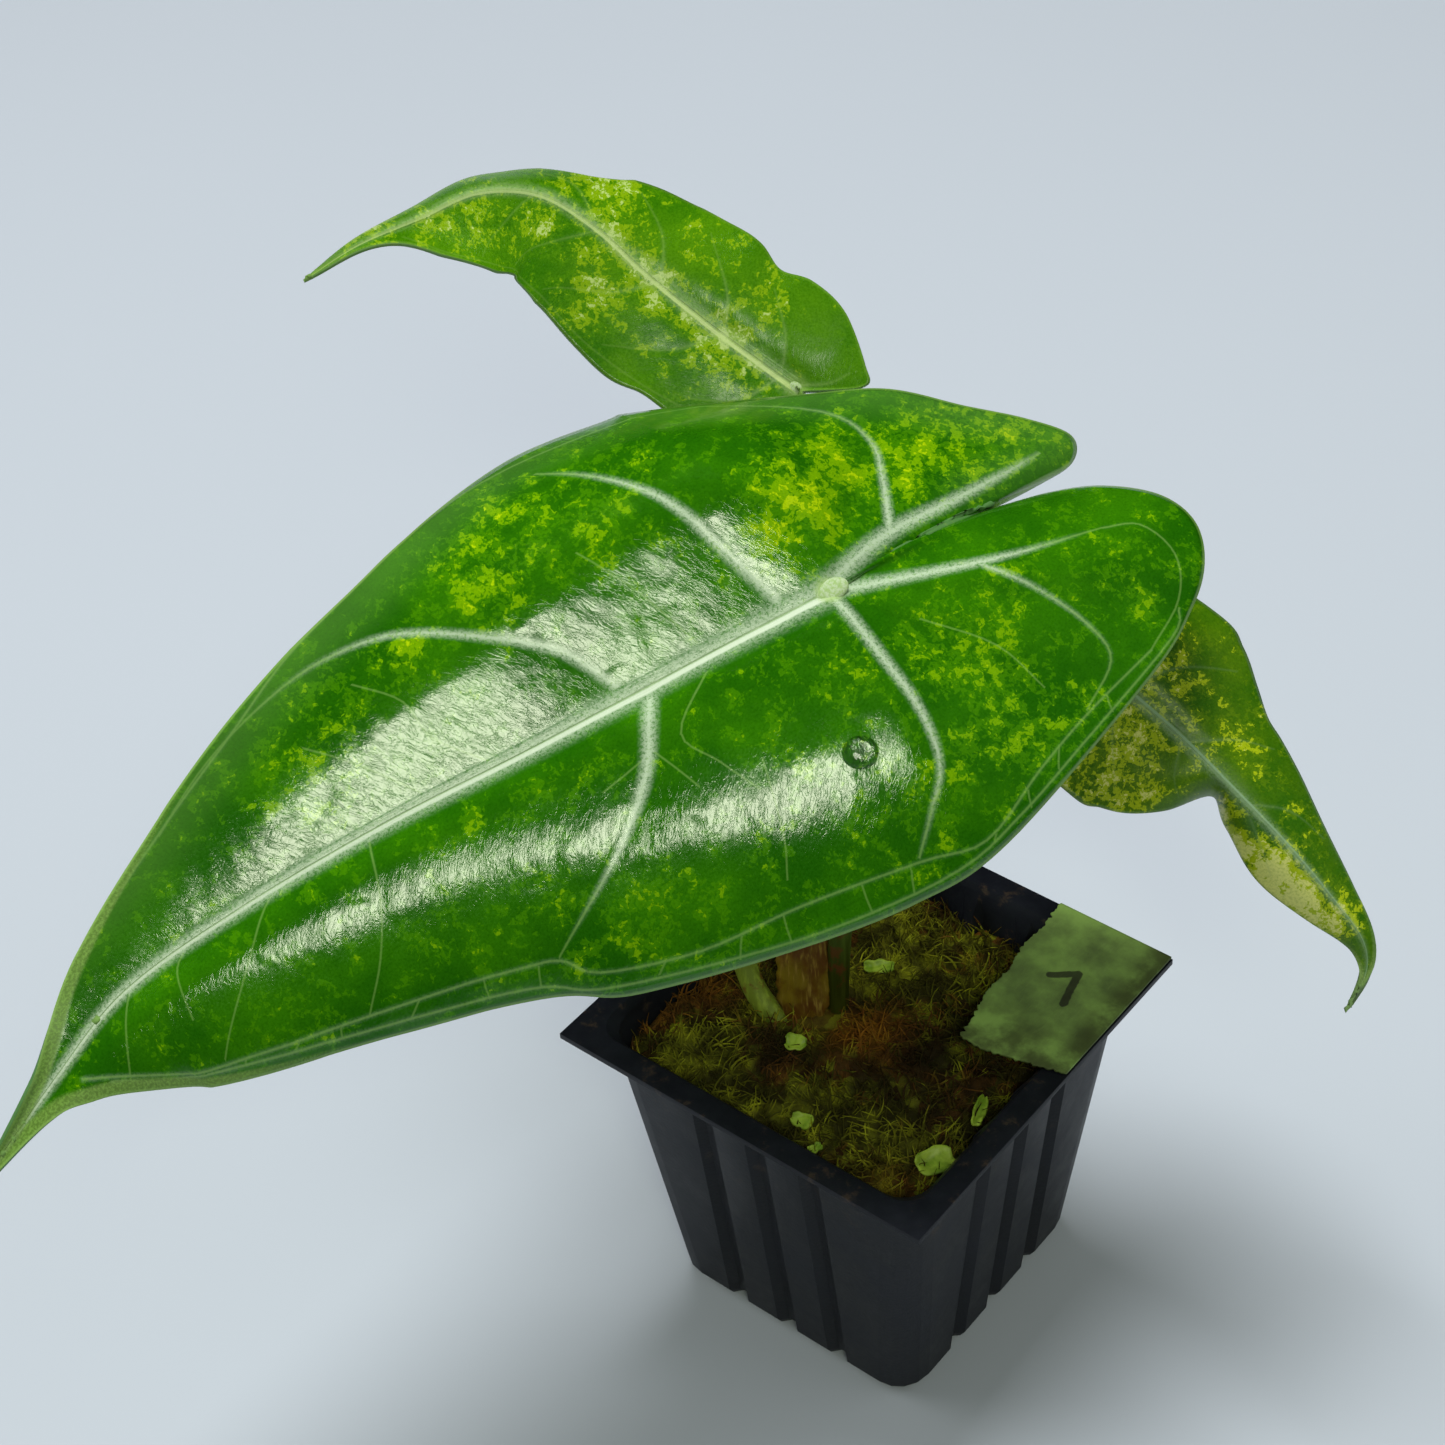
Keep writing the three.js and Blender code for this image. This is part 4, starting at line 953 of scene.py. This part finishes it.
# Dry sheath of an old leaf: a bent strip, widest near its foot
sheath = {
    "foot": (-9.6, -6.2, 56), "top": (-12.4, -0.6, 92), "facing": -52.4, "bend": (2.0, 0.7), "thickness": 0.5,
    "fullHalfWidth": 4.4, "cells": (24, 70), "ragged": 0.5, "ribs": 0.12, "lumps": 0.25,
    "halfWidths": ((0, 1.8), (0.08, 3.4), (0.16, 4.4), (0.4, 4.4), (0.6, 3.8), (0.8, 2.6), (0.92, 1.3),
                   (1, 0.4)),
}


def sheathMesh():
    bm = newGrid(*sheath["cells"])
    foot, top = Vector(sheath["foot"]), Vector(sheath["top"])
    facing = math.radians(sheath["facing"])
    outward = Vector((math.cos(facing), math.sin(facing), 0))
    sideways = Vector((-math.sin(facing), math.cos(facing), 0))
    for vert in bm.verts:
        s, share = vert.co.x, (vert.co.y + 1) / 2
        halfWidth = float(np.interp(share, *zip(*sheath["halfWidths"])))
        ragged = sheath["ragged"] * wander(share * 22, s * 2, 4)
        bend = sheath["bend"][0 if s < 0 else 1] * s * s * halfWidth / sheath["fullHalfWidth"]
        lumps = sheath["lumps"] * wander(s * 2, share * 9, 1)
        out = sheath["ribs"] * math.cos(s * 16) + lumps - bend
        side = s * (halfWidth + ragged * abs(s))
        vert.co = (foot.lerp(top, share) + outward * out + sideways * side) * mm
    faceAlong(bm, outward, alike=False)
    return keepMesh(bm, "oldSheath")


def sheathMaterial():
    material = newMaterial("drySheath")
    where = objectPlace()
    fibre = grain(stretch(where, (1500, 1500, 70)), 1.0, 5.0)
    blotch = grain(where, 140.0, 5.0)
    colour = blend(fade(blotch, 0.4, 0.6), (0.13, 0.05, 0.002), (0.22, 0.15, 0.004))
    colour = blend(fade(fibre, 0.52, 0.72), colour, (0.34, 0.22, 0.03))
    return paint(material, colour, (0.5, 0.75), fibre, 0.2)


thicken(addPiece("oldSheath", sheathMesh(), (sheathMaterial(),), ("old_sheath",)),
        sheath["thickness"], 0)

# Crown: the short stem in the middle of the plant, as heights and radii
crown = {
    "centre": (-10.6, -2.2), "colours": ((0.05, 0.022, 0.002), (0.12, 0.09, 0.006)),
    "levels": ((47, 2.9), (51, 4.8), (54.5, 6.3), (57, 6.0), (59, 4.4), (60.2, 2.2), (60.4, 0.6)),
}
crownSkin = speckled("crownSkin", 300.0, crown["colours"], 0.7, 0.4, span=(0.35, 0.6), detail=6.0, shine=0.15)
crownPath = [((*crown["centre"], z), radius) for z, radius in crown["levels"]]
addPiece("crown", tubeMesh("crown", [crownPath], 8), (crownSkin,), ("crown",))

# Moss: a lumpy bed, curled strands on it and a few pale scraps
moss = {
    "top": 57.6, "half": 30.9, "corner": 5.2, "cells": 124, "footInset": 6.0, "foot": 3.2, "roughness": 0.5,
    "flutes": (-11.2, 0, 11.2), "fluteHalfWidth": 2.6, "fluteFloor": 1.2, "fluteDepth": 1.6,
    "strandCount": 3600, "length": (2.5, 6.5), "radius": (0.14, 0.34), "knots": 5, "taper": 0.2, "seed": 11,
    "strandHalf": 30.4, "strandMargin": (0.6, 0.3), "sunk": 0.4, "crownClear": 6.5, "splay": 0.8,
    "bend": 0.5, "droop": (-0.25, 0.25), "raised": 0.8, "swell": (0.9, 9, 8),
    "lumps": ((0.16, 3, 1.6), (0.5, 8, 0.8)),  # how close together, layer of the noise, height
}


def mossHeight(x, y):  # x and y in mm
    tall, widthX, widthY = moss["swell"]
    height = moss["top"] + moss["raised"] + tall * math.sin(x / widthX + 1) * math.cos(y / widthY)
    return height + sum(wander(x * close, y * close, layer) * rise for close, layer, rise in moss["lumps"])


def fluteCut(s):  # how far the wall's flutes reach in at this place along a side
    away = min(abs(s - flute) for flute in moss["flutes"])
    ramp = (moss["fluteHalfWidth"] - away) / (moss["fluteHalfWidth"] - moss["fluteFloor"])
    return moss["fluteDepth"] * max(0.0, min(1.0, ramp))


def insideMoss(x, y, margin=0.0):  # nearest place inside the rounded, fluted square
    half, corner = moss["half"] - margin, moss["corner"]
    reachX, reachY = half - fluteCut(y), half - fluteCut(x)
    x, y = max(-reachX, min(reachX, x)), max(-reachY, min(reachY, y))
    inner = half - corner
    dx, dy = abs(x) - inner, abs(y) - inner
    far = math.hypot(dx, dy)
    if dx > 0 and dy > 0 and far > corner:
        x, y = (math.copysign(inner + d * corner / far, side) for d, side in ((dx, x), (dy, y)))
    return x, y


def mossBedMesh():
    bm = newGrid(moss["cells"], moss["cells"], moss["half"])
    for vert in bm.verts:
        x, y = insideMoss(vert.co.x, vert.co.y)
        small = wander(x * 1.6, y * 1.6, 1) * moss["roughness"]
        vert.co = Vector((x, y, mossHeight(x, y) + small)) * mm
    bmesh.ops.remove_doubles(bm, verts=bm.verts, dist=0.02 * mm)
    grown = bmesh.ops.extrude_edge_only(bm, edges=[edge for edge in bm.edges if edge.is_boundary])["geom"]
    for vert in (v for v in grown if isinstance(v, bmesh.types.BMVert)):
        x, y = insideMoss(vert.co.x / mm, vert.co.y / mm, moss["footInset"])
        vert.co = Vector((x, y, moss["foot"])) * mm
    bmesh.ops.holes_fill(bm, edges=[e for e in grown if isinstance(e, bmesh.types.BMEdge)], sides=0)
    return keepMesh(bm, "mossBed", outward=True)


def mossStrands():
    draw = random.Random(moss["seed"])
    strands = []
    rootMargin, margin = moss["strandMargin"]
    half, splay, bend = moss["strandHalf"], moss["splay"], moss["bend"]
    while len(strands) < moss["strandCount"]:
        x, y = draw.uniform(-half, half), draw.uniform(-half, half)
        x, y = insideMoss(x, y, rootMargin)
        if math.dist((x, y), crown["centre"]) < moss["crownClear"]:
            continue
        point = Vector((x, y, mossHeight(x, y) - moss["sunk"]))
        way = Vector((draw.gauss(0, splay), draw.gauss(0, splay), 1)).normalized()
        curl = Vector((draw.gauss(0, bend), draw.gauss(0, bend), draw.gauss(*moss["droop"])))
        step = draw.uniform(*moss["length"]) / (moss["knots"] - 1)
        radius = draw.uniform(*moss["radius"])
        strand = []
        for k in range(moss["knots"]):
            point.x, point.y = insideMoss(point.x, point.y, margin)
            strand.append((point, radius * (1 - moss["taper"] * k)))
            point = point + way * step
            way = (way + curl * 0.5).normalized()
        strands.append(strand)
    return strands


def mossMaterial(name, unshadedShare):
    material = newMaterial(name)
    where = objectPlace()
    first, second, third = split(cells(where, 420.0))
    brown = blend(first, (0.05, 0.022, 0.004), (0.15, 0.065, 0.01))
    olive = blend(second, (0.07, 0.066, 0.004), (0.24, 0.255, 0.014))
    choice = plus(grain(where, 70.0, 4.0), times(minus(third, 0.5), 0.4))
    colour = blend(fade(plus(choice, attribute("green")), 0.37, 0.6), brown, olive)
    # Painted shade and light: the gaps between the moss clumps are painted dark, and the clumps' middles
    # painted brighter.
    clumpShading = cells(shake(where, 300.0, 2.0, (0.004, 0.004, 0.004)), 190.0, "Distance")
    colour = blend(fade(clumpShading, 0.35, 0.75, 0.0, 0.8), colour, (0.02, 0.015, 0.002))
    colour = blend(fade(clumpShading, 0.5, 0.15, 0.0, 0.9), colour, (1.9, 1.9, 1.4), "MULTIPLY")
    rusty = blend(first, (0.16, 0.05, 0.003), (0.36, 0.15, 0.01))
    colour = layered(
        colour, (attribute("rust"), 0.85, rusty), (attribute("dark"), 0.75, (0.012, 0.007, 0.002)))
    # Painted shade: the moss bed under the strands is darkened towards black; the strands are left as they
    # are.
    colour = blend(1 - unshadedShare, colour, (0.01, 0.008, 0.002))
    return paint(material, colour, (0.7, 0.95), grain(where, 2200.0), 0.2, shine=0.25)


# Patches of the moss: middle, radius in mm and strength
mossPatches = {
    "green": ((-10, -26, 7, 0.45), (-19.8, -21.7, 7, 0.45), (4.4, -21, 6, 0.35), (-2, 14, 8, 0.35),
              (20, -20, 8, 0.3), (-27, -12, 6, -0.3), (-31, -18, 5, -0.3), (-8, -18, 5, -0.3)),
    "rust": ((2.6, -1.4, 5.5, 1.0), (-2, -5, 4, 0.6), (-28, -9, 5, 0.5), (24, -28, 5, 0.4)),
    "dark": ((-7.8, -18.1, 4, 0.6), (11.2, -4.5, 5, 0.7), (11.9, -12.8, 4, 0.6), (16, 2, 7, 0.6),
             (24, -6, 5, 0.5)),
}


def writeMossMaps(mesh):  # how green, rusty or dark the moss is, from mossPatches
    places = np.array([v.co[:2] for v in mesh.vertices]) / mm
    for label, spots in mossPatches.items():
        share = np.zeros(len(places))
        for x, y, radius, strength in spots:
            share += strength * np.exp(-(((places - (x, y)) ** 2).sum(1)) / radius ** 2)
        mesh.attributes.new(label, "FLOAT", "POINT").data.foreach_set("value", np.clip(share, -1, 1))
    return mesh


addPiece("mossBed", writeMossMaps(mossBedMesh()), (mossMaterial("mossBed", 0.6),), ("moss",))
strandMesh = writeMossMaps(tubeMesh("mossStrands", mossStrands(), 0))
addPiece("mossStrands", strandMesh, (mossMaterial("mossStrand", 1.0),))

scraps = (  # place on the moss, length, width, turn in degrees
    (28.0, -19.8, 6.2, 4.6, 60), (27.4, -6.2, 6.4, 1.8, 110), (4.2, -24.3, 3.6, 2.4, 10),
    (9.9, -28.6, 2.8, 1.8, 75), (-6.3, -12.3, 3.4, 2.8, 30), (-5.5, 10.6, 5.0, 2.2, 35),
)
scrap = {
    "cells": (14, 8), "raised": 2.5, "lean": 18, "thickness": 0.3, "rounded": 0.6, "uneven": 0.35,
    "cup": 0.5, "wave": 0.6, "arch": 0.3,
    "colours": ((0.17, 0.3, 0.012), (0.4, 0.56, 0.05)),
}


def scrapMesh():
    bm = bmesh.new()
    columns, rows = scrap["cells"]
    for x, y, length, width, turn in scraps:
        made = bmesh.ops.create_grid(bm, x_segments=columns, y_segments=rows, size=0.5)["verts"]
        for vert in made:
            u, v = vert.co.x * 2, vert.co.y * 2
            taper = (1 - scrap["rounded"] * abs(u) ** 5) * (1 + scrap["uneven"] * wander(u * 2, x, y))
            wave = scrap["wave"] * wander(u * 1.5 + x, v + y, 2)
            height = scrap["cup"] * v * v + wave + scrap["arch"] * u * u
            vert.co = Vector((u * length / 2, v * width / 2 * taper, height))
        moved = Matrix.Translation((x, y, mossHeight(x, y) + scrap["raised"]))
        turned = Matrix.Rotation(math.radians(turn), 4, "Z")
        leaned = Matrix.Rotation(math.radians(scrap["lean"]), 4, "X")
        bmesh.ops.transform(bm, matrix=Matrix.Scale(mm, 4) @ moved @ turned @ leaned, verts=made)
    return keepMesh(bm, "leafScraps", outward=True)


scrapSkin = speckled("limeScrap", 350.0, scrap["colours"], 0.45, 0.2, span=(0.35, 0.65), detail=4.0)
thicken(addPiece("leafScraps", scrapMesh(), (scrapSkin,)), scrap["thickness"])
print("moss made")

# Pot: the frame's own shape with its edges eased
pot = {"flatWithin": 1.5, "ease": 0.3, "easeSteps": 2, "easeOver": 35, "dusty": (0.03, 0.068)}


def potMesh():
    bm = bmesh.new()
    bm.from_mesh(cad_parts["pot"].data)
    bmesh.ops.remove_doubles(bm, verts=bm.verts, dist=0.01 * mm)
    bmesh.ops.dissolve_limit(bm, angle_limit=math.radians(pot["flatWithin"]), verts=bm.verts, edges=bm.edges)
    return keepMesh(bm, "potShell")


def potMaterial():
    material = newMaterial("potPlastic")
    where = objectPlace()
    cloud = grain(where, 60.0, 6.0, 0.65)
    colour = blend(fade(cloud, 0.35, 0.7), (0.007, 0.008, 0.0115), (0.014, 0.016, 0.022))
    dust = times(fade(grain(where, 220.0, 6.0, 0.7), 0.56, 0.7), fade(split(where)[2], *pot["dusty"]))
    colour = layered(colour, (dust, 0.5, (0.09, 0.06, 0.035)))
    return paint(material, colour, (0.42, 0.58), cloud, normal=bump(grain(where, 1400.0), 0.04), shine=0.2)


potPiece = addPiece("potShell", potMesh(), (potMaterial(),), ("pot",))
ease = potPiece.modifiers.new("easedEdges", "BEVEL")
ease.width, ease.segments = pot["ease"] * mm, pot["easeSteps"]
ease.limit_method, ease.angle_limit = "ANGLE", math.radians(pot["easeOver"])

# Tape over one corner of the opening, torn along its inner edges, with a plain number on it
tape = {
    "level": 66.32, "thickness": 0.4, "edge": 37.3, "cells": (60, 90), "inner": 17, "torn": (0.7, 0.5),
    "outline": ((14.6, 37.3), (15.4, 30.5), (14.9, 25.0), (16.2, 19.0), (16.0, 12.5), (17.4, 6.4),
                (18.2, 1.4)),
    "lower": ((18.2, 1.4), (22.0, 1.0), (28.0, 2.2), (33.0, 3.4), (37.3, 4.6)),
    "freeWithin": 31, "freeOver": 8, "wave": 0.5, "curl": 0.25, "penWidth": 0.85,
    "darkerX": (0.031, 0.036), "darkerY": (0.016, 0.004),
    "number": (((23.0, 22.0), (26.8, 25.0)), ((26.8, 25.0), (28.6, 17.6))),
}


def tapeMesh():
    bm = newGrid(*tape["cells"], 0.5)
    innerX, innerY = zip(*reversed(tape["outline"]))
    lowerX, lowerY = zip(*tape["lower"])
    edge = tape["edge"]
    for vert in bm.verts:
        u, v = vert.co.x + 0.5, vert.co.y + 0.5
        x = edge * u + tape["inner"] * (1 - u)
        for _ in range(3):
            base = float(np.interp(x, lowerX, lowerY))
            y = base + (edge - base) * v
            left = float(np.interp(y, innerY, innerX))
            x = left + (edge - left) * u
        torn = (1 - u) ** 6 * wander(y * 1.3, 2, 5) * tape["torn"][0]
        tornLow = (1 - v) ** 6 * wander(x * 1.3, 7, 5) * tape["torn"][1]
        free = min(1, max(0, (tape["freeWithin"] - max(x, y)) / tape["freeOver"]))
        wave = wander(x * 0.18, y * 0.18, 3) * tape["wave"] - tape["curl"] * (1 - u) ** 2
        vert.co = Vector((x - torn, y - tornLow, tape["level"] + wave * free)) * mm
    faceAlong(bm, Vector((0, 0, 1)), alike=False)
    return keepMesh(bm, "tapeLabel")


def makeStrokeGroup():  # ink of a straight pen stroke
    tree, given, result = newGroup(
        "penStroke", ("Ink",), Place=vectorKind, From=vectorKind, To=vectorKind, Width=number)
    span, offset = (vectorCalc("SUBTRACT", given[label], given["From"]) for label in ("To", "Place"))
    share = divide(*(vectorCalc("DOT_PRODUCT", part, span) for part in (offset, span)), clamp=True)
    away = vectorCalc("LENGTH", vectorCalc("SUBTRACT", offset, stretch(span, share)))
    connect(fade(away, given["Width"], times(given["Width"], 0.7)), result["Ink"])
    return tree


def tapeMaterial(strokeGroup):
    material = newMaterial("greenTape")
    where = objectPlace()
    x, y, _ = split(where)
    crepe = grain(stretch(where, (1700, 350, 1)), 1.0)
    smudge = grain(where, 90.0, 5.0, 0.6)
    colour = blend(fade(smudge, 0.35, 0.7), (0.25, 0.41, 0.085), (0.11, 0.17, 0.045))
    # Darker towards the outer and the lower edge, in noisy smudges.
    edgeDarkening = times(larger(fade(y, *tape["darkerY"]), fade(x, *tape["darkerX"])), fade(smudge, 0.3, 0.52))
    spot = shake(stretch(where, (1000, 1000, 0)), 0.8, 2.0, (0.5, 0.5, 0))
    strokes = (useGroup(strokeGroup, Place=spot, From=(*start, 0), To=(*end, 0), Width=tape["penWidth"])
               for start, end in tape["number"])
    ink = larger(*(stroke["Ink"] for stroke in strokes))
    colour = layered(
        colour, (fade(crepe, 0.5, 0.75), 0.3, (0.26, 0.38, 0.11)), (edgeDarkening, 0.7, (0.035, 0.035, 0.01)),
        (ink, 0.85, (0.02, 0.018, 0.012)))
    return paint(material, colour, (0.6, 0.8), crepe, 0.06)


tapePiece = addPiece("tapeLabel", tapeMesh(), (tapeMaterial(makeStrokeGroup()),), ("tape_label",))
thicken(tapePiece, tape["thickness"], 1)
print("pot and tape made")
